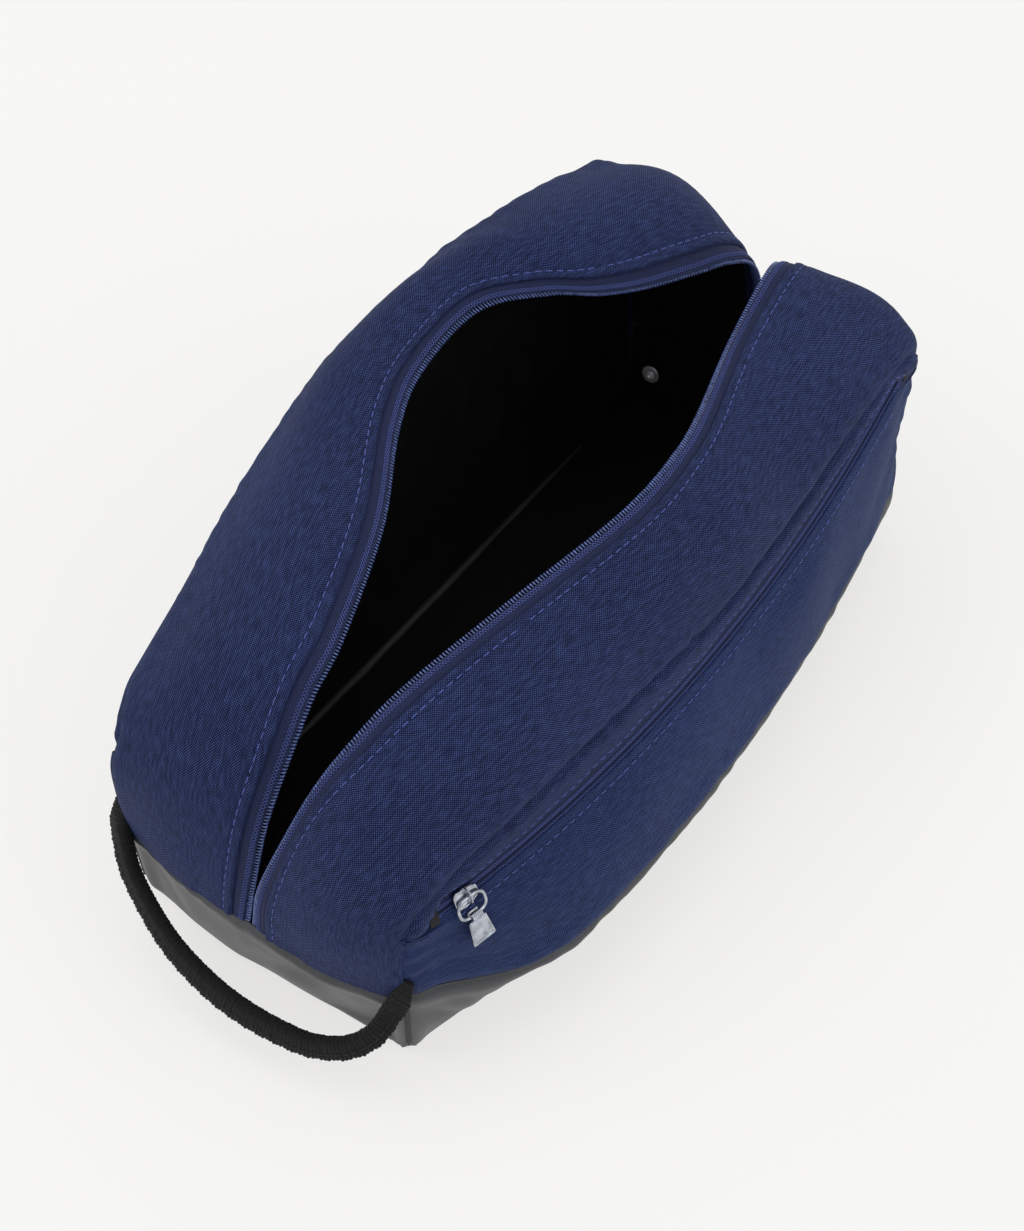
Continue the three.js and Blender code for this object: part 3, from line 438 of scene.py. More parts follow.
# ------------------------------------------------------------------ materials
class Mat:
    """a Principled material and a few shorthands for its node tree"""

    def __init__(self, name, rough=0.6, metal=0.0, **flat):
        self.m = bpy.data.materials.new(name)
        self.m.use_nodes = True
        self.nt = self.m.node_tree
        self.nt.nodes.clear()
        self.out = self.nt.nodes.new("ShaderNodeOutputMaterial")
        self.p = self.nt.nodes.new("ShaderNodeBsdfPrincipled")
        self.nt.links.new(self.p.outputs[0], self.out.inputs[0])
        self.p.inputs["Roughness"].default_value = rough
        self.p.inputs["Metallic"].default_value = metal
        for k, v in flat.items():
            self.p.inputs[k.replace("_", " ")].default_value = v

    def node(self, kind, **kw):
        n = self.nt.nodes.new(kind)
        for k, v in kw.items():
            setattr(n, k, v)
        return n

    def link(self, a, b):
        self.nt.links.new(a, b)

    def math(self, op, a, b=None, clamp=False):
        n = self.node("ShaderNodeMath", operation=op)
        n.use_clamp = clamp
        for i, x in enumerate((a, b)):
            if x is None:
                continue
            if isinstance(x, (int, float)):
                n.inputs[i].default_value = x
            else:
                self.link(x, n.inputs[i])
        return n.outputs[0]

    def coords(self, kind="UV"):
        return self.node("ShaderNodeTexCoord").outputs[kind]

    def noise(self, vec, scale, detail=3.0, rough=0.55):
        n = self.node("ShaderNodeTexNoise")
        n.inputs["Scale"].default_value = scale
        n.inputs["Detail"].default_value = detail
        n.inputs["Roughness"].default_value = rough
        self.link(vec, n.inputs["Vector"])
        return n.outputs[0]

    def ramp(self, fac, stops):
        n = self.node("ShaderNodeValToRGB")
        while len(n.color_ramp.elements) > 1:
            n.color_ramp.elements.remove(n.color_ramp.elements[-1])
        n.color_ramp.elements[0].position = stops[0][0]
        n.color_ramp.elements[0].color = (*stops[0][1], 1)
        for p, c in stops[1:]:
            e = n.color_ramp.elements.new(p)
            e.color = (*c, 1)
        self.link(fac, n.inputs[0])
        return n.outputs[0]

    def mix(self, fac, a, b, blend="MIX"):
        n = self.node("ShaderNodeMix", data_type="RGBA", blend_type=blend)
        for sock, x in ((n.inputs[0], fac), (n.inputs[6], a), (n.inputs[7], b)):
            if isinstance(x, (int, float)):
                sock.default_value = x
            elif isinstance(x, tuple):
                sock.default_value = (*x, 1)
            else:
                self.link(x, sock)
        return n.outputs[2]

    def bump(self, height, strength, dist, normal=None):
        n = self.node("ShaderNodeBump")
        n.inputs["Strength"].default_value = strength
        n.inputs["Distance"].default_value = dist
        self.link(height, n.inputs["Height"])
        if normal is not None:
            self.link(normal, n.inputs["Normal"])
        return n.outputs[0]

    def set(self, color=None, rough=None, normal=None):
        if color is not None:
            self.link(color, self.p.inputs["Base Color"])
        if rough is not None:
            self.link(rough, self.p.inputs["Roughness"])
        if normal is not None:
            self.link(normal, self.p.inputs["Normal"])
        return self.m


LEVEL = 1.5    # tones were read off under brighter lighting than this scene's


def srgb(r, g, b):
    f = lambda c: (c / 255 / 12.92) if c / 255 <= 0.04045 else ((c / 255 + 0.055) / 1.055) ** 2.4
    return (f(r) * LEVEL, f(g) * LEVEL, f(b) * LEVEL)


def scaled(m, vec, sx, sy, sz=1.0):
    n = m.node("ShaderNodeVectorMath", operation="MULTIPLY")
    m.link(vec, n.inputs[0])
    n.inputs[1].default_value = (sx, sy, sz)
    return n.outputs[0]


def woven(name, dark, mid, light, pitch, rough=0.72, bump=0.5, slub=1.0, sheen=0.25, sheen_tint=(0.4, 0.5, 0.9), skew=0.0):
    """plain weave of warp and weft threads at the given thread spacing (m), with slubs, a little colour drift, and
    painted highlight on the thread crowns with painted shade in the gaps
    """
    m = Mat(name, rough, 0.0, Sheen_Weight=sheen, Sheen_Roughness=0.45, Sheen_Tint=(*sheen_tint, 1), Specular_IOR_Level=0.16)
    uv = m.coords("UV")
    sep = m.node("ShaderNodeSeparateXYZ")
    # a slight wander of the threads
    wob = m.noise(uv, 160, 1.5)
    off = m.math("MULTIPLY", m.math("SUBTRACT", wob, 0.5), pitch * 1.2)
    m.link(uv, sep.inputs[0])
    x = m.math("ADD", sep.outputs[0], off)
    y = m.math("ADD", sep.outputs[1], off)
    if skew:
        x = m.math("ADD", x, m.math("MULTIPLY", sep.outputs[1], skew))
    fx = m.math("MULTIPLY", x, math.pi / pitch)
    fy = m.math("MULTIPLY", y, math.pi / pitch)
    sx, sy = m.math("SINE", fx), m.math("SINE", fy)
    prod = m.math("MULTIPLY", sx, sy)
    bumps = m.math("ABSOLUTE", prod)
    over = m.math("GREATER_THAN", prod, 0.0)
    # slubs: long thin variation along each thread direction
    warp = m.noise(scaled(m, uv, 1 / pitch * 0.5, 170), 1.0, 2.0)
    weft = m.noise(scaled(m, uv, 170, 1 / pitch * 0.5), 1.0, 2.0)
    thread = m.mix(over, warp, weft)
    n = m.node("ShaderNodeSeparateColor")
    m.link(thread, n.inputs[0])
    slubs = m.math("MULTIPLY", m.math("SUBTRACT", n.outputs[0], 0.5), 0.62 * slub)
    # painted highlight and painted shade: the thread crowns (bumps) are coloured lighter and the gaps between threads
    # darker
    tone = m.math("ADD", m.math("ADD", m.math("MULTIPLY", bumps, 0.36), m.math("MULTIPLY", over, 0.44)), slubs)
    big = m.noise(uv, 9, 3.0)
    tone = m.math("ADD", tone, m.math("MULTIPLY", m.math("SUBTRACT", big, 0.5), 0.18), clamp=True)
    col = m.ramp(tone, [(0.0, dark), (0.45, mid), (1.0, light)])
    h = m.math("ADD", bumps, m.math("MULTIPLY", slubs, 0.6))
    r = m.math("SUBTRACT", rough + 0.1, m.math("MULTIPLY", bumps, 0.16))
    return m.set(col, r, m.bump(h, bump, pitch * 0.45))


NAVY = woven("navy_oxford", srgb(1, 2, 12), srgb(12, 21, 52), srgb(74, 90, 148), 0.00054, bump=0.6, sheen=0.07)
POCKET = woven("navy_fine_oxford", srgb(2, 5, 19), srgb(14, 27, 62), srgb(68, 88, 142), 0.00050, bump=0.45, slub=0.9, sheen=0.08)
LINING = woven("black_lining", (0.0012, 0.0012, 0.0014), (0.0035, 0.0035, 0.004), (0.011, 0.011, 0.012), 0.00035, rough=0.82, bump=0.3, slub=0.5, sheen=0.04, sheen_tint=(1, 1, 1))


def make_tape(name):
    """ribbed zip tape: fine ribs across, with a herringbone lean that turns every few ribs"""
    m = Mat(name, 0.7, 0.0, Sheen_Weight=0.06, Sheen_Roughness=0.5, Sheen_Tint=(0.4, 0.5, 0.9, 1), Specular_IOR_Level=0.25)
    uv = m.coords("UV")
    sep = m.node("ShaderNodeSeparateXYZ"); m.link(uv, sep.inputs[0])
    lean = m.math("PINGPONG", sep.outputs[1], 0.0011)
    f = m.math("SINE", m.math("MULTIPLY", m.math("ADD", sep.outputs[0], m.math("MULTIPLY", lean, 0.55)), 2 * math.pi / 0.00062))
    g = m.math("SINE", m.math("MULTIPLY", sep.outputs[1], 2 * math.pi / 0.0011))
    h = m.math("ADD", m.math("MULTIPLY", f, 0.35), m.math("MULTIPLY", g, 0.25))
    n = m.noise(uv, 900, 2.0)
    # painted highlight and painted shade: ribs are coloured lighter on their raised tops and darker between them (h is
    # also the bump height)
    tone = m.math("ADD", m.math("ADD", 0.45, m.math("MULTIPLY", h, 0.5)), m.math("MULTIPLY", m.math("SUBTRACT", n, 0.5), 0.5), clamp=True)
    col = m.ramp(tone, [(0, srgb(6, 9, 26)), (0.5, srgb(18, 25, 56)), (1, srgb(40, 50, 90))])
    return m.set(col, None, m.bump(h, 0.5, 0.00025))


def make_thread(name, a, b, rough=0.5):
    """twisted sewing thread"""
    m = Mat(name, rough, 0.0, Sheen_Weight=0.08, Sheen_Roughness=0.4, Specular_IOR_Level=0.35)
    uv = m.coords("UV")
    sep = m.node("ShaderNodeSeparateXYZ"); m.link(uv, sep.inputs[0])
    s = m.math("SINE", m.math("MULTIPLY", m.math("ADD", sep.outputs[0], m.math("MULTIPLY", sep.outputs[1], 0.8)), 2 * math.pi / 0.00055))
    # painted highlight and painted shade: the twist ridges (s, also the bump height) are coloured lighter and the
    # grooves darker
    col = m.ramp(m.math("ADD", m.math("MULTIPLY", s, 0.4), 0.5), [(0, a), (1, b)])
    return m.set(col, None, m.bump(s, 0.5, 0.0001))


def make_coil(name):
    """nylon monofilament"""
    m = Mat(name, 0.28, 0.0, Specular_IOR_Level=0.55, Coat_Weight=0.25, Coat_Roughness=0.15)
    o = m.coords("Object")
    n = m.noise(o, 700, 2.0)
    col = m.ramp(n, [(0.3, srgb(34, 44, 84)), (0.7, srgb(80, 98, 152))])
    r = m.math("ADD", 0.22, m.math("MULTIPLY", n, 0.14))
    return m.set(col, r, m.bump(n, 0.15, 0.0001))


def make_grey(name):
    """coated fabric: leather-like grain over a faint weave, with painted shade in the grain's crevices and a painted
    highlight on convex crests and edges, so the folds stay darker
    """
    m = Mat(name, 0.42, 0.0, Specular_IOR_Level=0.4, Coat_Weight=0.08, Coat_Roughness=0.35)
    o, uv = m.coords("Object"), m.coords("UV")
    v = m.node("ShaderNodeTexVoronoi", feature="DISTANCE_TO_EDGE"); v.inputs["Scale"].default_value = 950
    m.link(o, v.inputs["Vector"])
    cell = m.math("MINIMUM", v.outputs["Distance"], 0.25)
    grain = m.noise(o, 1500, 3.0)
    big = m.noise(o, 22, 4.0)
    sep = m.node("ShaderNodeSeparateXYZ"); m.link(uv, sep.inputs[0])
    wv = m.math("MULTIPLY", m.math("SINE", m.math("MULTIPLY", sep.outputs[0], math.pi / 0.0006)), m.math("SINE", m.math("MULTIPLY", sep.outputs[1], math.pi / 0.0006)))
    # painted shade: the grain's crevices (low cell distance, also low in the bump) are coloured darker
    tone = m.math("ADD", m.math("ADD", m.math("MULTIPLY", cell, 0.8), m.math("MULTIPLY", big, 0.5)), m.math("MULTIPLY", m.math("SUBTRACT", grain, 0.5), 0.5), clamp=True)
    col = m.ramp(tone, [(0.1, srgb(31, 32, 34)), (0.45, srgb(49, 50, 52)), (0.9, srgb(67, 68, 71))])
    # painted highlight: convex crests and edges (high pointiness) are mixed a quarter of the way towards a lighter
    # grey; folds and flat parts keep the darker tone
    geo = m.node("ShaderNodeNewGeometry")
    edge = m.ramp(geo.outputs["Pointiness"], [(0.50, (0, 0, 0)), (0.60, (1, 1, 1))])
    col = m.mix(m.math("MULTIPLY", edge, 0.25), col, srgb(98, 99, 102))
    r = m.math("ADD", 0.36, m.math("MULTIPLY", grain, 0.16))
    h = m.math("ADD", m.math("MULTIPLY", cell, 2.0), m.math("MULTIPLY", wv, 0.12))
    return m.set(col, r, m.bump(h, 0.28, 0.00018))


def make_webbing(name):
    """black ribbed webbing; the ribs are in the mesh, this adds the threads between them, coloured lighter on their
    raised tops (painted highlight) and darker between them (painted shade)
    """
    m = Mat(name, 0.62, 0.0, Sheen_Weight=0.04, Sheen_Roughness=0.5, Specular_IOR_Level=0.2)
    uv = m.coords("UV")
    sep = m.node("ShaderNodeSeparateXYZ"); m.link(uv, sep.inputs[0])
    a = m.math("SINE", m.math("MULTIPLY", sep.outputs[1], 2 * math.pi / 0.00085))
    b = m.math("SINE", m.math("MULTIPLY", m.math("ADD", sep.outputs[0], m.math("MULTIPLY", a, 0.0001)), 2 * math.pi / 0.00085))
    h = m.math("ADD", m.math("MULTIPLY", a, 0.5), m.math("MULTIPLY", b, 0.5))
    n = m.noise(uv, 1200, 2.0)
    # painted highlight and painted shade: raised threads (high h) are coloured lighter and the hollows between them
    # darker
    tone = m.math("ADD", m.math("ADD", 0.4, m.math("MULTIPLY", h, 0.3)), m.math("MULTIPLY", m.math("SUBTRACT", n, 0.5), 0.6), clamp=True)
    col = m.ramp(tone, [(0, (0.0008, 0.0008, 0.0009)), (0.5, (0.0045, 0.0045, 0.005)), (1, (0.034, 0.034, 0.036))])
    return m.set(col, None, m.bump(h, 0.6, 0.0003))


def make_nickel(name):
    """bright nickel plate with fine brush marks and a little handling haze"""
    m = Mat(name, 0.2, 1.0)
    o = m.coords("Object")
    streak = m.noise(scaled(m, o, 260, 2600, 2600), 1.0, 3.0)
    haze = m.noise(o, 260, 3.0)
    col = m.ramp(haze, [(0.3, srgb(118, 121, 128)), (0.7, srgb(168, 172, 180))])
    r = m.math("ADD", 0.10, m.math("ADD", m.math("MULTIPLY", streak, 0.12), m.math("MULTIPLY", haze, 0.10)))
    return m.set(col, r, m.bump(streak, 0.08, 0.00004))


TAPE, COIL, GREY, WEB, NICKEL = make_tape("zip_tape"), make_coil("zip_coil"), make_grey("grey_coated"), make_webbing("black_webbing"), make_nickel("nickel")
THREAD = make_thread("navy_thread", srgb(34, 44, 94), srgb(84, 98, 164))
PIPING = make_thread("seam_binding", srgb(10, 10, 12), srgb(30, 30, 34), 0.55)
DARK_THREAD = make_thread("dark_thread", srgb(8, 8, 10), srgb(26, 26, 30))


# ------------------------------------------------------------------ gusset halves
SEAM_LEN = {}
TOOTH = 1.45          # zip tooth pitch, mm
DV = np.array([0, 0.6, 1.2, 2.0, 3.0, 4.2, 6, 8, 10.5, 13.5, 17, 20.5, 24, 27.5, 31, 34.5, 38, 41.5, 45, 48.5, 52, 55, 57.5, 59.5, 61, 61.7, 62.2, 62.6, 63.0, 63.5, 64.3, 65.2, 65.8, 66.2, 66.5, 66.6])
ST_D = 62.4           # topstitch, distance from the seam


def stations(side, step):
    """u values evenly spaced along the gusset with the lip ends among them; returns u, index of lip start and end"""
    n = len(SIDE[side]["S"]) - 1
    cuts = [0.02, LIP_U0, LIP_U1[side], n - 0.02]
    out, marks = [], []
    for a, b in zip(cuts[:-1], cuts[1:]):
        uu = np.linspace(a, b, 400)
        p = (gusset(side, uu, np.full(400, 0.25)) + gusset(side, uu, np.full(400, 0.95))) / 2
        L = np.concatenate([[0], np.cumsum(np.linalg.norm(np.diff(p, axis=0), axis=1))])
        k = int(round(L[-1] / step))
        q = np.interp(np.linspace(0, L[-1], k + 1), L, uu)
        marks.append(len(out) + k if not out else len(out) - 1 + k)
        out = list(q) if not out else out + list(q[1:])
    return np.array(out), marks[0], marks[1]


def ease(x):
    x = np.clip(x, 0, 1)
    return x * x * (3 - 2 * x)


def gusset_grid(side, us, ds, extra=0.0):
    """gusset surface at stations us and distances ds (mm from the seam), with its normals"""
    U, D = np.meshgrid(us, ds, indexing="ij")
    P = gusset(side, U.ravel(), D.ravel() / GUSSET_W).reshape(len(us), len(ds), 3)
    n = normals_of(P) if len(us) > 2 and len(ds) > 2 else None
    return P, n, U, D


def cloth_offset(side, P, U, D):
    """height of the cloth over the ideal surface, mm"""
    nn = len(SIDE[side]["S"]) - 1
    endf = ease(np.minimum(U, nn - U) / 1.6)
    body = ease(D / 9) * (1 - 0.65 * ease((D - 50) / 16))
    h = waves(P, 95, 11 if side == "front" else 12, 8, (1, 1, 1)) * 1.5 * body
    h += waves(P, 42, 21 if side == "front" else 22, 9, (1, 0.6, 0.6)) * 0.5 * body
    # pulls running in from the sewn seam
    h += waves(P, 13, 31 if side == "front" else 32, 9, (1.6, 0.3, 0.3)) * 0.34 * np.exp(-D / 9) * ease(D / 2.0)
    # seam allowance inside lifts a soft ridge next to the seam, the seam itself is a tight groove
    h += 1.0 * np.exp(-((D - 5.5) / 4.5) ** 2)
    h -= 1.9 * np.exp(-(D / 1.7) ** 2)
    # topstitch draws the cloth down, the folded edge beyond it stands up again
    h -= 0.45 * np.exp(-((D - ST_D) / 0.9) ** 2)
    h += 0.30 * np.exp(-((D - 65.0) / 1.8) ** 2)
    h -= np.where(D > 65.6, 1.15 * np.clip((D - 65.6) / 1.0, 0, 1) ** 2.2, 0)
    return h * np.where(D > 45, 1, endf * 0.75 + 0.25)


EXTRA_FOLDS = {"front": [], "back": []}
grids = {}
for side in ("front", "back"):
    us, i0, i1 = stations(side, 1.6)
    P, n, U, D = gusset_grid(side, us, DV)
    h = cloth_offset(side, P, U, D)
    for f in EXTRA_FOLDS[side]:
        h += seg_fold(P, *f)
    P = P + n * h[..., None]
    n = normals_of(P)
    uv = arclen(P)
    uv[..., 1] += 0.013 if side == "front" else 0.0
    grids[side] = (P, n, uv, us, i0, i1)
    t = 1.5
    parts = {"handle_end": (0, i0), "lip": (i0, i1), "far_end": (i1, len(us) - 1)}
    for part, rows in parts.items():
        o = shell(f"cloth_gusset_{side}_{part}", P, t, NAVY, uv=uv, n=n, rows=rows)
        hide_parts(f"gusset_{side}_{part}")
        grids[side, part] = o


def body_for(o, side, part):
    lip = f"lip_{side}"
    if part == "lip":
        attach(o, lip)
    else:
        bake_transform(o)
    return o


def zip_line(side, part, d, drop, step=None, n=None):
    """points along the zip edge of one stretch at distance d from the seam, drop mm under the surface; with normals and the across direction"""
    nn = len(SIDE[side]["S"]) - 1
    cuts = {"handle_end": (0.05, LIP_U0), "lip": (LIP_U0, LIP_U1[side]), "far_end": (LIP_U1[side], nn - 0.05)}[part]
    uu = np.linspace(*cuts, 500)
    e = 1e-3
    p = gusset(side, uu, np.full(500, d / GUSSET_W))
    q = gusset(side, uu, np.full(500, (d - 1) / GUSSET_W))
    r = gusset(side, uu + e, np.full(500, d / GUSSET_W))
    across = unit(p - q)
    nrm = unit(np.cross(r - p, p - q))
    c = np.stack([np.clip(p[:, 0], -110, 110), 0 * p[:, 0], np.full(500, 70.0)], 1)
    nrm = np.where((((p - c) * nrm).sum(1) < 0)[:, None], -nrm, nrm)
    p = p - nrm * drop
    return resample(p, step, n, [nrm, across])


def main_zip(side, part):
    """tape, coil, chain stitches and topstitch of one stretch of one side of the main zip"""
    made = []
    # tape
    D = np.array([60.0, 63, 66, 68, 69.6, 70.2, 71.0, 71.6, 72.2, 72.5])
    nn = len(SIDE[side]["S"]) - 1
    us, i0, i1 = grids[side][3:6]
    rows = {"handle_end": (0, i0), "lip": (i0, i1), "far_end": (i1, len(us) - 1)}[part]
    P, n, U, DD = gusset_grid(side, us, D)
    h = -1.0 + 0.12 * waves(P, 9, 44, 8, (1.5, .3, .3)) * ease((D - 66) / 4)[None, :] * 0.6
    # the sewn margin lies under the cloth
    tuck = ease((67.6 - D) / 1.6)[None, :]
    h = h * (1 - tuck) + np.minimum(-1.0, cloth_offset(side, P, U, DD) - 1.7) * tuck
    P = P + n * h[..., None]
    tape = shell(f"zip_tape_cloth_{side}_{part}", P, 0.55, TAPE, rows=rows)
    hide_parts(f"zip_tape_{side}_{part}")
    made.append(tape)
    # coil: one loop of monofilament for each tooth, under the tape, heads past its edge
    line, (nrm, acr) = zip_line(side, part, 70.0, 1.0, n=400)
    L = np.concatenate([[0], np.cumsum(np.linalg.norm(np.diff(line, axis=0), axis=1))])
    teeth = int(L[-1] / TOOTH)
    prof_d = np.array([0.3, 2.0, 3.6, 4.35, 4.65, 4.35, 3.6, 2.0, 0.3])
    prof_h = np.array([1.0, 0.95, 0.85, 0.75, 1.15, 1.75, 2.1, 2.25, 2.25])
    prof_s = np.array([0.0, 0.03, 0.10, 0.20, 0.30, 0.38, 0.45, 0.52, 0.62])
    k = np.arange(teeth)[:, None]
    s = ((k + prof_s[None, :]) * TOOTH).ravel()
    s = s * (L[-1] / (teeth * TOOTH))
    g = lambda A: np.stack([np.interp(s, L, A[:, i]) for i in range(3)], 1)
    b, nn_, ac = g(line), unit(g(nrm)), unit(g(acr))
    path = b + ac * np.tile(prof_d, teeth)[:, None] - nn_ * np.tile(prof_h, teeth)[:, None]
    # radius a little fuller at the head
    rr = np.tile(np.array([.30, .31, .34, .40, .44, .40, .34, .31, .30]), teeth)
    coil = sweep(f"zip_coil_loops_{side}_{part}", path[None], nn_[None], rr, 6, COIL)
    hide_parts(f"zip_coil_{side}_{part}")
    made.append(coil)
    # chain stitch that holds the coil, zigzag on the face of the tape
    zz = []
    for kk, (d0, d1) in enumerate(((69.9, 70.9), (71.9, 71.0))):
        s2 = (np.arange(teeth * 2 + 1) * 0.5 * TOOTH) * (L[-1] / (teeth * TOOTH))
        g2 = lambda A: np.stack([np.interp(s2, L, A[:, i]) for i in range(3)], 1)
        dd = np.where(np.arange(len(s2)) % 2 == 0, d0, d1) - 70.0
        p = g2(line) + unit(g2(acr)) * dd[:, None] + unit(g2(nrm)) * np.where(np.arange(len(s2)) % 2 == 0, 0.14, 0.22)[:, None]
        zz.append(sweep("z", p[None], unit(g2(nrm))[None], 0.2, 5, THREAD, squash=0.7))
    chain = join(f"zip_chain_stitch_{side}_{part}", zz)
    made.append(chain)
    # topstitch on the cloth
    G, gn = grids[side][0], grids[side][1]
    j = int(np.argmin(np.abs(DV - 62.6)))
    o = stitches(f"topstitch_{side}_{part}", G[rows[0]:rows[1] + 1, j], gn[rows[0]:rows[1] + 1, j], THREAD, 3.1, 1.5, 0.27, 0.05, start=1.5)
    made.append(o)
    return made


# inner lining that backs each gusset stretch, loose and slightly creased
LD = np.array([2, 8, 15, 23, 31, 39, 47, 55, 61, 64.5])
for side in ("front", "back"):
    us, i0, i1 = grids[side][3:6]
    sel = np.unique(np.concatenate([np.arange(0, len(us), 3), [i0, i1, len(us) - 1]]))
    ul = us[sel]
    P, n, U, D = gusset_grid(side, ul, LD)
    nn = len(SIDE[side]["S"]) - 1
    inset = 4.6 + 1.1 * waves(P, 34, 51, 9) * ease((62 - D) / 12) + 0.5 * waves(P, 15, 52, 9) * ease((62 - D) / 12)
    inset = np.where(D > 60, 2.9, inset)
    P = P - n * np.maximum(inset, 2.2)[..., None]
    n = normals_of(P); uv = arclen(P)
    a, b = int(np.where(sel == i0)[0][0]), int(np.where(sel == i1)[0][0])
    for part, rows in {"handle_end": (0, a), "lip": (a, b), "far_end": (b, len(ul) - 1)}.items():
        o = shell(f"lining_cloth_{side}_{part}", P, 0.5, LINING, uv=uv, n=n, rows=rows)
        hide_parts(f"lining_{side}_{part}")
        body_for(o, side, part)

for side in ("front", "back"):
    for part in ("handle_end", "lip", "far_end"):
        for o in main_zip(side, part):
            body_for(o, side, part)
        body_for(grids[side, part], side, part)

# ------------------------------------------------------------------ side panels, pocket, strip, coated band
def tw_grid(f, ts, ws):
    T, W = np.meshgrid(ts, ws, indexing="ij")
    return f(T.ravel(), W.ravel()).reshape(len(ts), len(ws), 3), T, W


def dens(n, pw=1.0):
    x = np.linspace(0, 1, n)
    return x


def end_dense(n, e=0.012):
    """0..1 stations, closer together near both ends"""
    x = np.linspace(0, 1, n)
    core = x
    fine = np.array([0.0, 0.002, 0.004, 0.0065, 0.010, 0.014, 0.020])
    return np.unique(np.concatenate([fine, core[(core > 0.024) & (core < 0.976)], 1 - fine]))


TSV = end_dense(190)


def groove(dist, depth=1.7, width=1.6):
    return -depth * np.exp(-(dist / width) ** 2) + 0.8 * np.exp(-((dist - 5.0) / 3.6) ** 2)


def seam_dist_ends(T, L=350.0):
    return np.minimum(T, 1 - T) * L


def band_top(side, T):
    return band_w(side, T)


def side_cloth(side):
    """navy cloth of one side, from the band seam to its top edge"""
    q = np.unique(np.concatenate([[0, 0.006, 0.013, 0.022, 0.035, 0.05, 0.075], np.linspace(0.1, 0.9, 26), [0.925, 0.95, 0.965, 0.978, 0.987, 0.994, 1.0]]))
    bw = band_w(side, TSV)
    T, Q = np.meshgrid(TSV, q, indexing="ij")
    Wv = bw[:, None] + (1 - bw[:, None]) * Q
    P = side_panel(side, T.ravel(), Wv.ravel()).reshape(T.shape + (3,))
    n = normals_of(P)
    H = np.linalg.norm(P[:, -1] - P[:, 0], axis=-1)[:, None]
    dl, dt, de = Q * H, (1 - Q) * H, seam_dist_ends(T)
    inner = ease(dl / 10) * ease(dt / 12) * ease(de / 14)
    h = waves(P, 80, 61 if side == "front" else 62, 8) * 1.3 * inner
    h += waves(P, 34, 63 if side == "front" else 64, 9, (1, 0.6, 0.7)) * 0.45 * inner
    # gathers that run in from the corner seams and from the band seam
    h += waves(P, 12, 65, 9, (0.3, 0.3, 1.5)) * 0.8 * np.exp(-de / 12) * ease(de / 3)
    h += waves(P, 14, 66, 9, (1.5, 0.3, 0.3)) * 0.35 * np.exp(-dl / 9) * ease(dl / 3)
    h += groove(dl) + groove(de, 1.9, 1.8)
    return P, n, h, Q, dt, de, T, dl


front_P, fn, fh, fQ, fdt, fde, fT, fdl = side_cloth("front")
near = lambda x, y, z: np.array((x, y, z))
# soft pulls at the near corner of the pocket side, where the handle is sewn in
for a, b, w_, d_ in ((( -172, -71, 62), (-118, -88, 56), 5.0, 1.6), ((-171, -70, 74), (-128, -86, 73), 4.5, 1.3), ((-170, -70, 54), (-140, -82, 47), 4.0, 1.2), ((-168, -72, 84), (-135, -84, 84), 5.0, -0.9), ((168, -72, 66), (128, -86, 60), 6.0, 1.4), ((168, -72, 52), (140, -84, 50), 5.0, 1.0)):
    fh += seg_fold(front_P, a, b, w_, d_)
P = front_P + fn * fh[..., None]
# the panel's top edge turns over the lower zip tape
xs = np.linspace(-170, 170, 400)
phi_t = phi_at_x(-170 + 340 * TSV)
open_k = ease((TSV - 0.018) / 0.03) * ease((0.978 - TSV) / 0.03)
top_edge = side_panel("front", TSV, 1.0)
Tf, Nf, Bf = arc_frame(phi_t)
extra = []
for b_, n_ in ((1.2, 0.15), (2.2, 0.22), (3.0, 0.25), (3.5, 0.15), (3.8, -0.15), (3.9, -0.6)):
    extra.append(top_edge + Bf * (b_ * open_k)[:, None] + Nf * (n_ * open_k - 1.0 * (1 - open_k))[:, None])
P = np.concatenate([P, np.stack(extra, 1)], 1)
pocket_cloth = shell("pocket_cloth", P, 1.3, POCKET)
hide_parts("pocket_panel"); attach(pocket_cloth, "root")
PF = P

back_P, bn, bh, bQ, bdt, bde, bT, bdl = side_cloth("back")
bh += groove(bdt)
for a, b, w_, d_ in (((-170, 72, 66), (-120, 84, 58), 6.0, 1.6), ((-60, 88, 70), (30, 92, 58), 10.0, 1.5), ((60, 90, 80), (140, 80, 66), 9.0, 1.5)):
    bh += seg_fold(back_P, a, b, w_, d_)
P = back_P + bn * bh[..., None]
o = shell("back_cloth", P, 1.4, NAVY)
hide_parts("side_panel_back"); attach(o, "root")

# strip between the pocket zip and the top seam
n_s = len(SF) - 1
uu = np.linspace(1.76, n_s - 1.76, 1500)
sp = spline(SIDE["front"]["S"], uu) * 10
lowx = side_panel("front", TSV, 1.0)[:, 0]
u_top = np.interp(np.clip(lowx, sp[0, 0], sp[-1, 0]), sp[:, 0], uu)
k_end = ease(np.minimum(TSV, 1 - TSV) / 0.05)
u_top = np.where(TSV < 0.5, 1.76 + (u_top - 1.76) * k_end, n_s - 1.76 - (n_s - 1.76 - u_top) * k_end)
hi = spline(SIDE["front"]["S"], u_top) * 10
lo = top_edge + Bf * (9.6 * open_k)[:, None]
qs = np.array([0, 0.02, 0.05, 0.09, 0.15, 0.25, 0.4, 0.55, 0.7, 0.8, 0.88, 0.93, 0.965, 1.0])
P = lo[:, None] + (hi - lo)[:, None] * qs[None, :, None]
n = unit(np.cross(np.gradient(P, axis=0), hi[:, None] - lo[:, None] + 1e-6))
n = np.where((n[..., 1:2] > 0), -n, n)
wdt = np.linalg.norm(hi - lo, axis=1)[:, None]
dlo, dhi = qs[None] * wdt, (1 - qs[None]) * wdt
small = np.clip(wdt / 10, 0, 1)
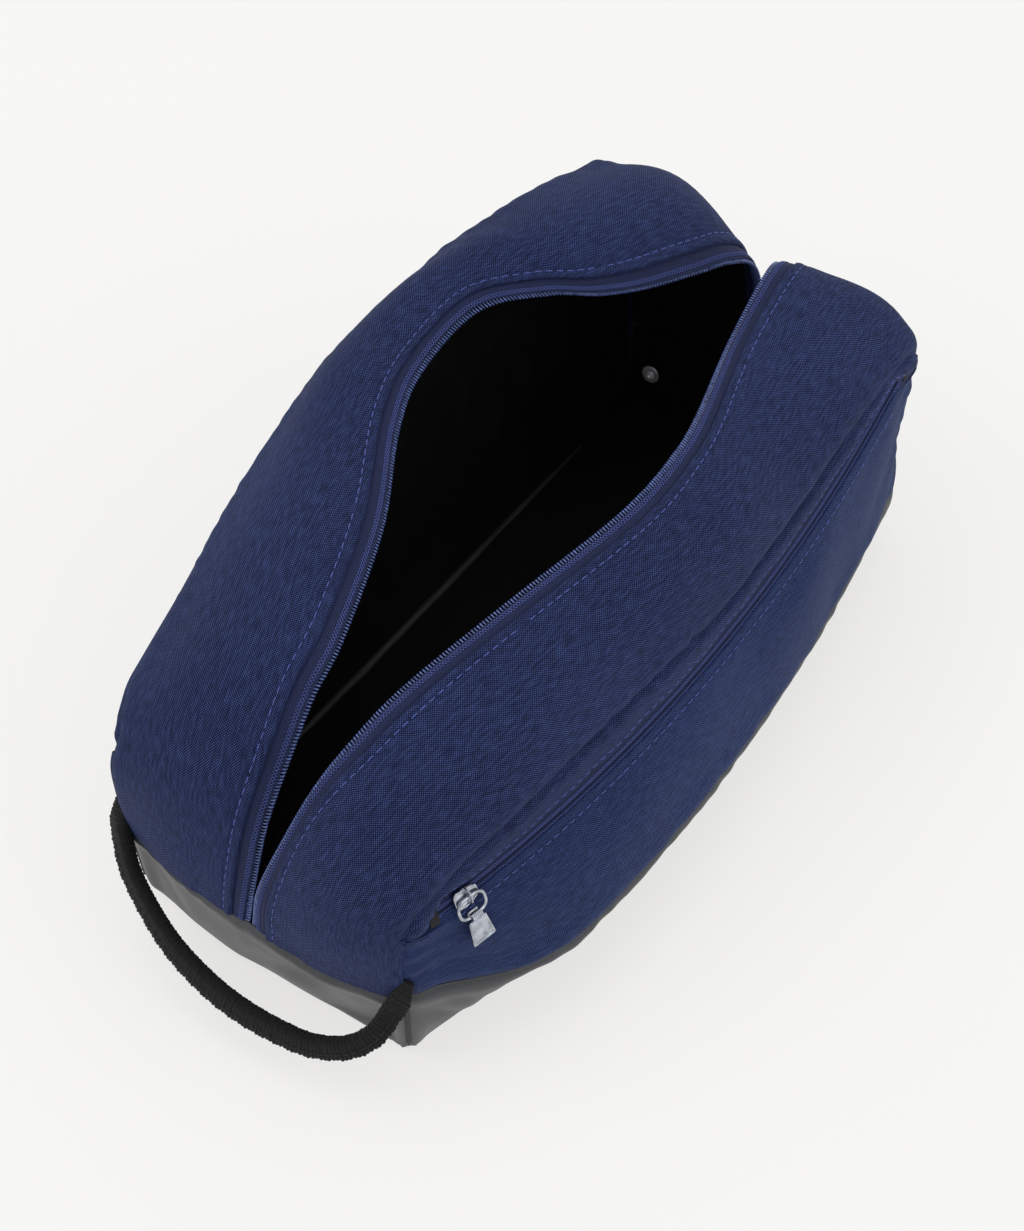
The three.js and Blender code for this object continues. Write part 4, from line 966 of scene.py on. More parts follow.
h = (groove(dhi, 1.9, 1.7) + 0.7 * np.sin(np.pi * qs)[None]) * (0.35 + 0.65 * small) - 0.35 * np.exp(-((dlo - 3.2) / 0.9) ** 2) * small
h += waves(P, 30, 71, 9, (1.3, .4, .4)) * 0.35 * small - np.where(dlo < 0.5, (0.5 - dlo) * 1.6, 0)
P = P + n * h[..., None]
o = shell("upper_strip_cloth", P, 1.3, NAVY)
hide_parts("front_upper_strip"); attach(o, "root")
STRIP = P; STRIP_N = normals_of(P); STRIP_W = wdt[:, 0]

# coated band: two long walls and two ends
def band_long(side):
    q = np.concatenate([[0, 0.02, 0.045, 0.08], np.linspace(0.13, 0.87, 13), [0.91, 0.94, 0.965, 0.985, 1.0]])
    bw = band_w(side, TSV)
    T, Q = np.meshgrid(TSV, q, indexing="ij")
    P = side_panel(side, T.ravel(), (bw[:, None] * Q).ravel()).reshape(T.shape + (3,))
    n = normals_of(P)
    dl, dt, de = Q * BAND_H, (1 - Q) * BAND_H, seam_dist_ends(T)
    inner = ease(dl / 9) * ease(dt / 8) * ease(de / 10)
    h = waves(P, 70, 81 if side == "front" else 82, 8) * 1.0 * inner + waves(P, 26, 83, 9) * 0.35 * inner
    h += groove(dt, 1.4, 1.3) * 1.0 + groove(de, 2.0, 1.9)
    h += waves(P, 11, 84, 9, (1.5, .3, .3)) * 0.3 * np.exp(-dt / 7) * ease(dt / 2)
    h -= 2.2 * np.clip(1 - dl / 4.5, 0, 1) ** 2
    for a, b, w_, d_ in (((-171, -69, 38), (-150, -76, 10), 4.5, 1.6), ((-160, -73, 40), (-138, -80, 22), 4.5, 1.1), ((168, -70, 36), (150, -78, 14), 5, 1.3), ((-168, 70, 38), (-146, 78, 14), 5, 1.4)):
        h = h + seg_fold(P, a, b, w_, d_)
    P = P + n * h[..., None]
    P[..., 2] = np.maximum(P[..., 2], 0.15)
    return P


for side in ("front", "back"):
    o = shell(f"band_{side}", band_long(side), 1.5, GREY)
    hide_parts(f"base_band_{side}"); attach(o, "root")

END_GRID = {}
for end, nm in ((-1, "handle_end"), (1, "far_end")):
    s_ = end_dense(95)
    q = np.concatenate([[0, 0.02, 0.045, 0.08], np.linspace(0.13, 0.87, 15), [0.91, 0.94, 0.965, 0.985, 1.0]])
    P, S_, Q_ = tw_grid(lambda s, w: end_band(end, s, w), s_, q)
    n = normals_of(P)
    n = np.where(n[..., 0:1] * end < 0, -n, n)
    dl, dt, de = Q_ * BAND_H, (1 - Q_) * BAND_H, np.minimum(S_, 1 - S_) * 136
    inner = ease(dl / 9) * ease(dt / 8) * ease(de / 12)
    h = waves(P, 60, 91 if end < 0 else 92, 8, (1, 1, 0.7)) * 1.3 * inner + waves(P, 24, 93, 9) * 0.35 * inner
    h += groove(dt, 1.4, 1.3) + groove(de, 2.0, 1.9)
    h -= 2.0 * np.clip(1 - dl / 4.5, 0, 1) ** 2
    h += waves(P, 11, 94, 9, (.3, 1.5, .3)) * 0.3 * np.exp(-dt / 7) * ease(dt / 2)
    folds = (((-176, -52, 40), (-174, 8, 16), 7, 1.8), ((-176, 30, 38), (-174, -20, 30), 6, -1.0), ((-175, 62, 40), (-173, 40, 14), 5, 1.2), ((-175, -62, 34), (-173, -50, 8), 5, 1.4)) if end < 0 else (((176, -50, 40), (174, -10, 20), 6, 1.2), ((176, 50, 38), (174, 16, 22), 6, 1.2))
    for a, b, w_, d_ in folds:
        h = h + seg_fold(P, a, b, w_, d_)
    P = P + n * h[..., None]
    P[..., 2] = np.maximum(P[..., 2], 0.15)
    nn_ = normals_of(P); nn_ = np.where(nn_[..., 0:1] * end < 0, -nn_, nn_)
    END_GRID[nm] = (P, nn_)
    o = shell(f"band_{nm}", P, 1.5, GREY, n=nn_)
    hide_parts(f"base_band_{nm}")
    END_GRID[nm, "obj"] = o
    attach(o, "root")

# ------------------------------------------------------------------ eyelets through the far end wall
def seat(sy):
    q, w = 0.5 + sy * 54.0 / (2 * BASE_LY), 22.0 / BAND_H
    p = end_band(1, q, w)[0]
    ty = unit(end_band(1, q + 0.02, w)[0] - end_band(1, q - 0.02, w)[0])
    tz = unit(end_band(1, q, w + 0.1)[0] - end_band(1, q, w - 0.1)[0])
    n = unit(np.cross(ty, tz))
    if n[0] < 0:
        n = -n
    z = np.cross(n, ty)
    return np.array([n, ty, z]).T, p


def cut_round(obj, centre, axis, r, length):
    bm = bmesh.new()
    bmesh.ops.create_cone(bm, cap_ends=True, segments=40, radius1=r * MM, radius2=r * MM, depth=length * MM)
    me = bpy.data.meshes.new("cutter"); bm.to_mesh(me); bm.free()
    c = bpy.data.objects.new("cutter", me)
    bpy.context.scene.collection.objects.link(c)
    c.matrix_world = Matrix.Translation(Vector(centre * MM)) @ Vector(axis).to_track_quat("Z", "Y").to_matrix().to_4x4()
    m = obj.modifiers.new("cut", "BOOLEAN"); m.operation = "DIFFERENCE"; m.object = c; m.solver = "EXACT"
    bpy.context.view_layer.update()
    dg = bpy.context.evaluated_depsgraph_get()
    new = bpy.data.meshes.new_from_object(obj.evaluated_get(dg), depsgraph=dg)
    obj.modifiers.clear()
    old = obj.data
    obj.data = new
    new.name = obj.name
    bpy.data.objects.remove(c)


def lathe(name, prof, Rm, p, mat, seg=48):
    """closed ring profile [(r, h)] turned about the first column of Rm"""
    prof = np.array(prof, float)
    th = 2 * np.pi * np.arange(seg) / seg
    n, a, b = Rm[:, 0], Rm[:, 1], Rm[:, 2]
    V = p + prof[None, :, 1, None] * n + prof[None, :, 0, None] * (np.cos(th)[:, None, None] * a + np.sin(th)[:, None, None] * b)
    k = len(prof)
    F = []
    for i in range(seg):
        for j in range(k):
            F.append([i * k + j, i * k + (j + 1) % k, ((i + 1) % seg) * k + (j + 1) % k, ((i + 1) % seg) * k + j])
    o = new_obj(name, V.reshape(-1, 3), F, mat)
    return o


far_band = END_GRID["far_end", "obj"]
BRIGHT = Mat("bright_nickel", 0.32, 0.55)
bo_ = BRIGHT.coords("Object")
BRIGHT.set(BRIGHT.ramp(BRIGHT.noise(bo_, 420, 2.0), [(0.3, (0.80, 0.81, 0.83)), (0.7, (0.93, 0.94, 0.95))]), None, None)
BRIGHT = BRIGHT.m
eyelet_objs = []
for nm, sy in (("back", 1), ("front", -1)):
    Rm, p = seat(sy)
    Pg, Ng = END_GRID["far_end"]
    d = np.linalg.norm(Pg - p, axis=-1); k = np.unravel_index(d.argmin(), d.shape)
    lift = float((Pg[k] - p) @ Rm[:, 0])
    p = p + Rm[:, 0] * lift
    cut_round(far_band, p, Rm[:, 0], 2.6, 26)
    # rolled barrel with a domed flange outside and a flat washer inside
    prof = [(1.75, -5.9), (2.35, -5.9), (4.1, -6.0), (4.4, -5.6), (4.1, -5.2), (2.45, -5.1), (2.45, 0.3), (4.3, 0.25), (4.75, 0.5), (4.6, 0.95), (3.9, 1.35), (3.1, 1.5), (2.4, 1.35), (1.95, 0.95), (1.75, 0.3)]
    o = lathe(f"eyelet_ring_{nm}", prof, Rm, p, BRIGHT)
    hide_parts(f"eyelet_{nm}"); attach(o, "root")
    eyelet_objs.append((Rm, p))

# bound corner seams of the coated band
for side in ("front", "back"):
    for end in (-1, 1):
        wv_ = np.linspace(0.09, 0.5, 60)
        cl = corner(side, end, wv_)
        cl = cl[cl[:, 2] < 46.5]
        out_ = unit(np.array((end * 1.0, SIDE[side]["s"] * 1.0, 0.0)))
        pipe = cl - out_ * 1.15
        o = sweep(f"corner_piping_{side}_{'near' if end < 0 else 'far'}", resample(pipe, 1.0)[None], np.array([1.0, 0.3, 0]), 0.75, 10, PIPING)
        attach(o, "root")
# the seam allowance that fills the back corners above the band
for end in (-1, 1):
    cl = corner("back", end, np.linspace(0.4, 1.0, 160))
    cl = cl[(cl[:, 2] > 47.5) & (cl[:, 2] < 93)]
    pipe = cl - unit(np.array((end * 1.0, 1.0, 0.0))) * 1.6
    o = sweep(f"corner_binding_back_{'near' if end < 0 else 'far'}", resample(pipe, 1.0)[None], np.array([1.0, 0.3, 0]), 1.4, 10, NAVY)
    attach(o, "root")

# ------------------------------------------------------------------ lining inside
def lining_wall(side):
    ts = np.linspace(0.012, 0.988, 150)
    ws = np.concatenate([np.linspace(0.022, 0.96, 27), [1.0]])
    T, W = np.meshgrid(ts, ws, indexing="ij")
    P = side_panel(side, T.ravel(), W.ravel()).reshape(T.shape + (3,))
    if side == "front":
        xx = P[:, -1, 0]
        top = spline(SIDE["front"]["S"], np.interp(xx, sp[:, 0], uu)) * 10
        P = np.concatenate([P, np.stack([P[:, -1] + (top - P[:, -1]) * k for k in (0.35, 0.7, 1.0)], 1)], 1)
    n = normals_of(P)
    K = P.shape[1]
    v = np.linspace(0, 1, K)[None, :]
    h = 1.5 * waves(P, 48, 101 if side == "front" else 102, 9) + 0.8 * waves(P, 20, 103, 9, (1, 1, .5)) + 0.25 * waves(P, 9, 104, 9)
    if side == "front":
        h = np.where(h < 0, h * 0.2, h)
    P = P - n * (5.6 + (1.3 * ease((v - 0.45) / 0.3) if side == "front" else 0) + (h + 0.6) * ease(v / 0.12) * ease((1 - v) / 0.08))[..., None]
    return shell(f"lining_cloth_{side}", P, 0.5, LINING)


for side in ("front", "back"):
    o = lining_wall(side)
    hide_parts(*(("lining_front",) if side == "front" else ("lining_back",)))
    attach(o, "root")

# the pocket's inner wall, flat behind the pocket cloth
ts = np.linspace(0.02, 0.98, 90); ws = np.linspace(0.1, 0.975, 22)
T, W = np.meshgrid(ts, ws, indexing="ij")
P = side_panel("front", T.ravel(), W.ravel()).reshape(T.shape + (3,))
n = normals_of(P)
P = P - n * (3.0 + 0.5 * waves(P, 40, 111, 8))[..., None]
o = shell("pocket_back_wall", P, 0.6, NAVY)
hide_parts("pocket_inner_wall"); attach(o, "root")

for end, nm in ((-1, "handle_end"), (1, "far_end")):
    ss = np.linspace(0.025, 0.975, 60); ws = np.linspace(0.1, 1.0, 20)
    P, S_, W_ = tw_grid(lambda s, w: end_band(end, s, w), ss, ws)
    n = normals_of(P); n = np.where(n[..., 0:1] * end < 0, -n, n)
    h = 1.2 * waves(P, 40, 121, 9) + 0.5 * waves(P, 16, 122, 9)
    calm = 1.0
    if end > 0:
        for Rm, p in eyelet_objs:
            calm = calm * ease((np.linalg.norm(P - p, axis=-1) - 7) / 9)
    P = P - n * (4.6 + (h + 0.4) * calm)[..., None]
    o = shell(f"lining_cloth_{nm}", P, 0.5, LINING, n=n)
    if end > 0:
        for Rm, p in eyelet_objs:
            cut_round(o, p, Rm[:, 0], 2.6, 26)
    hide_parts(f"lining_{nm}"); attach(o, "root")

# ------------------------------------------------------------------ floor of the bag: base cloth, board, lining
def floor_grid(inset, nx=120, ny=40):
    x = np.linspace(-BASE_LX + inset, BASE_LX - inset, nx)
    v = np.linspace(-1, 1, ny)
    Xg, Vg = np.meshgrid(x, v, indexing="ij")
    # rounded plan corners
    cr = np.clip((np.abs(Xg) - (BASE_LX - inset - 9)) / 9, 0, 1)
    Y = Vg * (base_y(Xg) - inset - 3.0 * (1 - np.sqrt(np.maximum(1 - cr ** 2, 0))))
    return np.stack([Xg, Y, 0 * Xg], -1), Vg


P, Vg = floor_grid(0.6)
edge = np.minimum(1 - np.abs(Vg), (BASE_LX - 0.6 - np.abs(P[..., 0])) / 68.0) * 68
P[..., 2] = 2.2 + 0.25 * waves(P, 50, 131, 8) * ease(edge / 12) - 0.5 * np.exp(-((edge - 6) / 1.0) ** 2)
up = np.zeros_like(P); up[..., 2] = 1
low = 0.05 + 1.1 * np.clip(1 - edge / 2.5, 0, 1) ** 2 + 0.45 * np.exp(-((edge - 6) / 0.9) ** 2)
thick = np.maximum(P[..., 2] - low, 0.4)
o = shell("base_cloth", P, thick, GREY, n=up)
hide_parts("base_panel"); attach(o, "root")
# stitched line round the underside
ring = []
inset_ = 6.2
for x in np.linspace(-BASE_LX + inset_ + 6, BASE_LX - inset_ - 6, 160):
    ring.append((x, -(base_y(x) - inset_)))
for a in np.linspace(-90, 90, 24):
    ring.append((BASE_LX - inset_ - 6 + 6 * math.cos(math.radians(a)), (BASE_LY - inset_ - 6) * np.sign(a) + 6 * math.sin(math.radians(a)) if abs(a) > 1 else 0))
for x in np.linspace(BASE_LX - inset_ - 6, -BASE_LX + inset_ + 6, 160):
    ring.append((x, base_y(x) - inset_))
for a in np.linspace(90, 270, 24):
    ring.append((-BASE_LX + inset_ + 6 + 6 * math.cos(math.radians(a)), (BASE_LY - inset_ - 6) * np.sign(math.sin(math.radians(a))) + 6 * math.sin(math.radians(a)) if abs(a - 180) > 1 else 0))
ring = np.array([(x, y, 0.42) for x, y in ring])
ring = resample(ring, 2.0)
o = stitches("base_stitching", ring, np.tile((0, 0, -1.0), (len(ring), 1)), DARK_THREAD, 3.2, 1.4, 0.26, -0.1)
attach(o, "root")

P, Vg = floor_grid(4.2)
P[..., 2] = 6.9 + 0.55 * waves(P, 60, 141, 8) + 0.35 * waves(P, 24, 142, 9) + 0.12 * waves(P, 10, 143, 9)
o = shell("lining_floor_cloth", P, 0.5, LINING, n=normals_of(P) * np.where(normals_of(P)[..., 2:3] < 0, -1, 1))
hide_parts("lining_floor"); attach(o, "root")
board = Mat("fibre_board", 0.7)
bo = board.coords("Object")
bn_ = board.noise(scaled(board, bo, 60, 900, 900), 1.0, 3.0)
board.set(board.ramp(bn_, [(0.3, (0.50, 0.50, 0.48)), (0.7, (0.62, 0.62, 0.60))]), None, board.bump(bn_, 0.2, 0.0002))
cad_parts["base_board"].data.materials.clear()
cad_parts["base_board"].data.materials.append(board.m)

# ------------------------------------------------------------------ pocket zip, closed: two tapes meet over a coil sewn behind them
def arc_sheet(name, p0, p1, bs, ns, mat, t, count=240):
    ph = np.linspace(p0, p1, count)
    P = np.stack([arc_pt(ph, n_, b_) for b_, n_ in zip(bs, ns)], 1)
    return shell(name, P, t, mat)


upper = arc_sheet("pocket_tape_cloth_upper", PHI0 - 0.012, PHI1 + 0.012, [0.12, 0.3, 0.8, 1.6, 2.4, 3.4, 4.6, 5.6], [-1.5, -0.95, -0.75, -0.7, -0.75, -0.85, -1.0, -1.1], TAPE, 0.5)
lower = arc_sheet("pocket_tape_cloth_lower", PHI0 - 0.012, PHI1 + 0.012, [-5.6, -4.6, -3.4, -2.4, -1.6, -0.8, -0.3, -0.12], [-1.1, -1.0, -0.85, -0.75, -0.7, -0.75, -0.95, -1.5], TAPE, 0.5)
for o, nd in ((upper, "pocket_tape_upper"), (lower, "pocket_tape_lower")):
    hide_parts(nd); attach(o, "root")
arc_len = (PHI1 - PHI0) * float(np.linalg.norm(zp[1] - zC))
teeth = int(arc_len / 1.25)
ph_t = PHI0 + (np.arange(teeth)[:, None] + np.array([0, .05, .12, .2, .3, .38, .45, .52, .62])[None]) * (PHI1 - PHI0) / teeth
for sgn, nd in ((1, "pocket_coil_upper"), (-1, "pocket_coil_lower")):
    bpr = np.tile(np.array([3.0, 1.6, 0.5, -0.1, -0.35, -0.1, 0.5, 1.6, 3.0]), teeth) * sgn
    npr = -1.55 - np.tile(np.array([0.1, 0.1, 0.12, 0.3, 0.7, 1.1, 1.3, 1.35, 1.3]), teeth)
    pts = arc_pt(ph_t.ravel() + (0.5 * (PHI1 - PHI0) / teeth if sgn < 0 else 0), npr, bpr)
    _, nf_, _b = arc_frame(ph_t.ravel())
    o = sweep(f"{nd}_loops", pts[None], nf_[None], 0.27, 6, COIL)
    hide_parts(nd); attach(o, "root")
zz = []
for sgn in (1, -1):
    for b0, b1 in ((0.9, 1.5), (2.3, 1.7)):
        ph = np.linspace(PHI0, PHI1, teeth * 2 + 1)
        alt = np.arange(len(ph)) % 2 == 0
        pts = arc_pt(ph, np.where(alt, -0.62, -0.54), np.where(alt, b0, b1) * sgn)
        zz.append(sweep("z", pts[None], arc_frame(ph)[1][None], 0.17, 5, THREAD, squash=0.7))
o = join("pocket_chain_stitch", zz)
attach(o, "root")
# bar tacks across both ends of the zip
for nm, p_, d_ in (("handle_end", PHI0, -1), ("far_end", PHI1, 1)):
    strands = []
    for k in range(9):
        ph = np.full(9, p_ + d_ * (0.0012 + k * 0.00062))
        bb = np.linspace(-3.6, 3.6, 9)
        strands.append(arc_pt(ph, 0.15 + 0.35 * np.sin(np.linspace(0, np.pi, 9)) - 0.3 * (np.abs(np.linspace(-1, 1, 9)) > 0.9), bb))
    fr = arc_frame(np.full(9, p_))[1]
    o = sweep(f"pocket_bar_tack_{nm}", np.array(strands), fr[None], 0.24, 6, PIPING)
    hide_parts(f"pocket_stop_{nm}"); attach(o, "root")

# topstitching beside the pocket zip, on the strip and on the pocket's top edge
j = 3
wk = STRIP_W > 9
i_ok = np.where(wk)[0]
sl = slice(i_ok[0], i_ok[-1])
dline = 3.4 / STRIP_W[sl]
qv = qs
line = np.stack([STRIP[sl][i, 0] + (STRIP[sl][i, -1] - STRIP[sl][i, 0]) * 0 for i in range(len(dline))])
li, ln = [], []
for i, q_ in zip(range(sl.start, sl.stop), dline):
    li.append([np.interp(q_, qs, STRIP[i, :, a]) for a in range(3)])
    ln.append([np.interp(q_, qs, STRIP_N[i, :, a]) for a in range(3)])
li, ln = np.array(li), unit(np.array(ln))
if ln[:, 1].mean() > 0:
    ln = -ln
o = stitches("strip_topstitch", li, ln, THREAD, 3.1, 1.5, 0.27, 0.0, start=2)
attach(o, "root")
ph = np.linspace(PHI0 - 0.01, PHI1 + 0.01, 400)
PFn = normals_of(PF)
row = 37 if PF.shape[1] > 40 else PF.shape[1] - 9
line_i = PF[:, row]; line_n = PFn[:, row]
m_ = (TSV > 0.05) & (TSV < 0.95)
o = stitches("pocket_topstitch", line_i[m_], line_n[m_], THREAD, 3.1, 1.5, 0.25, 0.0, start=2)
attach(o, "root")

# ------------------------------------------------------------------ metal parts
def round_poly(pts, r, n=5):
    out = []
    pts = [np.array(p, float) for p in pts]
    for i, p in enumerate(pts):
        a, b = pts[i - 1], pts[(i + 1) % len(pts)]
        u1, u2 = unit(a - p), unit(b - p)
        d = min(r, 0.45 * np.linalg.norm(a - p), 0.45 * np.linalg.norm(b - p))
        s, e = p + u1 * d, p + u2 * d
        for k in range(n + 1):
            t = k / n
            out.append((1 - t) ** 2 * s + 2 * t * (1 - t) * p + t * t * e)
    return np.array(out)


def placed(o, Rm, p):
    """local mm -> row frame"""
    M = Matrix(((*(Rm[0]), p[0] * MM), (*(Rm[1]), p[1] * MM), (*(Rm[2]), p[2] * MM), (0, 0, 0, 1)))
    o.data.transform(M)
    o.data.update()
    return o


def plate(name, outline, z0, z1, mat, bevel=0.3, segs=3, recess=None):
    bm = bmesh.new()
    vs = [bm.verts.new((x * MM, y * MM, z0 * MM)) for x, y in outline]
    f = bm.faces.new(vs)
    r = bmesh.ops.extrude_face_region(bm, geom=[f])
    bmesh.ops.translate(bm, verts=[v for v in r["geom"] if isinstance(v, bmesh.types.BMVert)], vec=(0, 0, (z1 - z0) * MM))
    bmesh.ops.recalc_face_normals(bm, faces=bm.faces)
    cap = [e for e in bm.edges if abs(e.verts[0].co.z - e.verts[1].co.z) < 1e-9]
    bmesh.ops.bevel(bm, geom=cap, offset=bevel * MM, segments=segs, profile=0.5, affect="EDGES", clamp_overlap=True)
    if recess:
        bm.faces.ensure_lookup_table()
        top = max(bm.faces, key=lambda q: (q.calc_center_median().z, q.calc_area()))
        bmesh.ops.inset_region(bm, faces=[top], thickness=recess[0] * MM, depth=0)
        bmesh.ops.inset_region(bm, faces=[top], thickness=0.18 * MM, depth=-recess[1] * MM)
    me = bpy.data.meshes.new(name); bm.to_mesh(me); bm.free()
    o = bpy.data.objects.new(name, me)
    bpy.context.scene.collection.objects.link(o)
    me.polygons.foreach_set("use_smooth", np.ones(len(me.polygons), bool))
    me.materials.append(mat)
    return o


def ring_plate(name, outer, inner, z0, z1, mat):
    n_ = len(outer)
    V, F = [], []
    b = 0.28
    loops = [(outer, z0 + b, 0), (outer, z1 - b, 0), (outer, z1, -b), (inner, z1, b), (inner, z1 - b, 0), (inner, z0 + b, 0), (inner, z0, b), (outer, z0, -b)]
    for poly, z, off in loops:
        c = poly.mean(0)
        for q in poly:
            d = unit(q - c) * off
            V.append((q[0] + d[0], q[1] + d[1], z))
    L_ = len(loops)
    for a in range(L_):
        for i in range(n_):
            F.append([a * n_ + i, a * n_ + (i + 1) % n_, ((a + 1) % L_) * n_ + (i + 1) % n_, ((a + 1) % L_) * n_ + i])
    return new_obj(name, V, F, mat)


def smooth_by_angle(o, deg=35):
    me = o.data
    bm = bmesh.new(); bm.from_mesh(me)
    for e in bm.edges:
        if len(e.link_faces) == 2 and e.calc_face_angle(0) > math.radians(deg):
            e.smooth = False
    bm.to_mesh(me); bm.free()


Tm, Nm, Bm = (q[0] for q in arc_frame(np.array([SLIDER_PHI])))
RS = np.array([Tm, Bm, Nm]).T
PS = arc_pt(np.array([SLIDER_PHI]), 0, 0)[0]
body_o = round_poly([(-6, -2.6), (-4.8, -4), (-1, -4.1), (3.4, -3.2), (5.6, -1.9), (5.6, 1.9), (3.4, 3.2), (-1, 4.1), (-4.8, 4), (-6, 2.6)], 1.0)
top_ = plate("s1", body_o, 0.35, 1.75, NICKEL, 0.55, 4)
bot_ = plate("s2", body_o, -4.3, -3.2, NICKEL, 0.3, 2)
web_ = plate("s3", round_poly([(-5, -0.8), (-1, -0.8), (-1, 0.8), (-5, 0.8)], 0.3), -3.6, 0.8, NICKEL, 0.1, 1)
ang = np.linspace(0, np.pi, 15)
arch = np.stack([0 * ang, 2.85 * np.cos(ang), 1.35 + 2.55 * np.sin(ang) ** 0.8], 1)
br_ = sweep("s4", arch[None] , np.array([1.0, 0, 0]), 1.15, 12, NICKEL, squash=0.45)
rail1 = sweep("s5", np.array([[[-4.6, 3.3, 1.2], [-2, 3.5, 1.75], [1.5, 2.9, 1.8], [4.2, 2.1, 1.5]]]), np.array([0, 0, 1.0]), 0.5, 10, NICKEL)
rail2 = sweep("s6", np.array([[[-4.6, -3.3, 1.2], [-2, -3.5, 1.75], [1.5, -2.9, 1.8], [4.2, -2.1, 1.5]]]), np.array([0, 0, 1.0]), 0.5, 10, NICKEL)
sl_ = join("pocket_slider_metal", [top_, bot_, web_, br_, rail1, rail2])
placed(sl_, RS, PS); smooth_by_angle(sl_)
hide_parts("pocket_slider"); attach(sl_, "pocket_slider_body")
a_ = np.linspace(0, 2 * np.pi, 64, endpoint=False)
sx_, sy_ = np.cos(a_), np.sin(a_)
rad = (np.abs(sx_) ** 3.0 + np.abs(sy_) ** 3.0) ** (-1 / 3.0)
ring_p = np.stack([6.5 * rad * sx_, -4.15 + 4.15 * rad * sy_, 2.8 + 0 * a_], 1)
rg_ = sweep("pocket_ring_wire", ring_p[None], np.array([0, 0, 1.0]), 0.72, 14, NICKEL, squash=0.85, closed=True)
placed(rg_, RS, PS)
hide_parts("pocket_ring"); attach(rg_, "pocket_ring_body")
tab_o = round_poly([(-5.7, -20.4), (5.7, -20.4), (4.3, -10.2), (-4.3, -10.2)], 0.9)
tab_ = plate("t1", tab_o, 2.45, 3.4, NICKEL, 0.3, 3)
rim_ = ring_plate("t1r", round_poly([(-5.5, -20.2), (5.5, -20.2), (4.15, -10.4), (-4.15, -10.4)], 0.9, 7), round_poly([(-4.5, -19.2), (4.5, -19.2), (3.35, -11.3), (-3.35, -11.3)], 0.7, 7), 3.1, 3.75, NICKEL)
eye_p = np.stack([np.linspace(-2.5, 2.5, 5)] , 1)
th_ = np.linspace(-2.4, 2.4, 20)
strap = np.stack([0 * th_, -8.3 - 1.65 * np.cos(th_), 2.8 + 1.65 * np.sin(th_)], 1)
bars = sweep("t2", np.stack([strap + np.array((dx, 0, 0)) for dx in np.linspace(-2.0, 2.0, 6)]), np.array([1.0, 0, 0]), 0.42, 8, NICKEL)
neck = plate("t3", round_poly([(-2.4, -10.9), (2.4, -10.9), (2.3, -9.3), (-2.3, -9.3)], 0.3), 2.5, 3.45, NICKEL, 0.25, 2)
pl_ = join("pocket_pull_tab", [tab_, rim_, bars, neck])
placed(pl_, RS, PS)
bmx = bmesh.new(); bmx.from_mesh(pl_.data); bmesh.ops.recalc_face_normals(bmx, faces=bmx.faces); bmx.to_mesh(pl_.data); bmx.free()
smooth_by_angle(pl_)
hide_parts("pocket_pull"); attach(pl_, "pocket_pull_body")

# main slider and pull at the bottom of the far end (local: x = world y, y = world z, z = world x)
RM = np.array([(0, 1, 0), (0, 0, 1), (1, 0, 0)], float).T
PM = np.array((181.0, 0.0, 56.0))
mo = round_poly([(-3.2, -5.5), (3.2, -5.5), (4.6, -1), (5.2, 3.6), (3.4, 6), (-3.4, 6), (-5.2, 3.6), (-4.6, -1)], 1.2)
m1 = plate("m1", mo, 0.8, 2.0, NICKEL, 0.45, 4)
m2 = plate("m2", mo, -3.8, -2.8, NICKEL, 0.3, 2)
m3 = plate("m3", round_poly([(-1, 1.5), (1, 1.5), (0.9, 5.5), (-0.9, 5.5)], 0.3), -3.3, 1.3, NICKEL, 0.1, 1)
arch = np.stack([0 * ang, -3.6 * np.cos(ang), 1.7 + 3.0 * np.sin(ang) ** 0.7], 1)
m4 = sweep("m4", arch[None], np.array([1.0, 0, 0]), 1.1, 12, NICKEL, squash=0.4)
ms = join("main_slider_metal", [m1, m2, m3, m4])
placed(ms, RM, PM); smooth_by_angle(ms)
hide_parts("main_slider"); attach(ms, "main_slider_body")
# pull: long tab with a window at its head
po = round_poly([(-2.6, 0.9), (-3.4, -4), (-3.4, -6.8), (3.4, -6.8), (3.4, -4), (2.6, 0.9)], 0.9, 7)
pi_ = round_poly([(-1.6, -0.5), (-1.9, -4), (-1.9, -5.4), (1.9, -5.4), (1.9, -4), (1.6, -0.5)], 0.6, 7)
p1 = ring_plate("p1", po, pi_, 2.35, 3.45, NICKEL)
p2 = plate("p2", round_poly([(-3.4, -6.2), (-3.9, -25), (-2.6, -27), (2.6, -27), (3.9, -25), (3.4, -6.2)], 1.2), 2.35, 3.45, NICKEL, 0.3, 3, recess=(0.9, 0.3))
mp = join("main_pull_tab", [p1, p2])
placed(mp, RM, PM)
bmx = bmesh.new(); bmx.from_mesh(mp.data); bmesh.ops.recalc_face_normals(bmx, faces=bmx.faces); bmx.to_mesh(mp.data); bmx.free()
smooth_by_angle(mp)
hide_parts("main_pull"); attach(mp, "main_pull_body")

# ------------------------------------------------------------------ handle: ribbed webbing folded round a cord and sewn flat along one edge
Hc = np.array(HANDLE) * 10
ext0 = Hc[0] + np.array((3.2, -0.6, 7.0)); ext1 = Hc[-1] + np.array((3.2, 0.6, 7.0))
Hx = np.vstack([ext0, Hc, ext1])
dense = spline(Hx, np.linspace(0, len(Hx) - 1, 1200))
for _ in range(60):
    dense[1:-1] = (dense[:-2] + 2 * dense[1:-1] + dense[2:]) / 4
RIB = 1.62
path = resample(dense, RIB / 7)
L = np.concatenate([[0], np.cumsum(np.linalg.norm(np.diff(path, axis=0), axis=1))])
Tn = unit(np.gradient(path, axis=0))
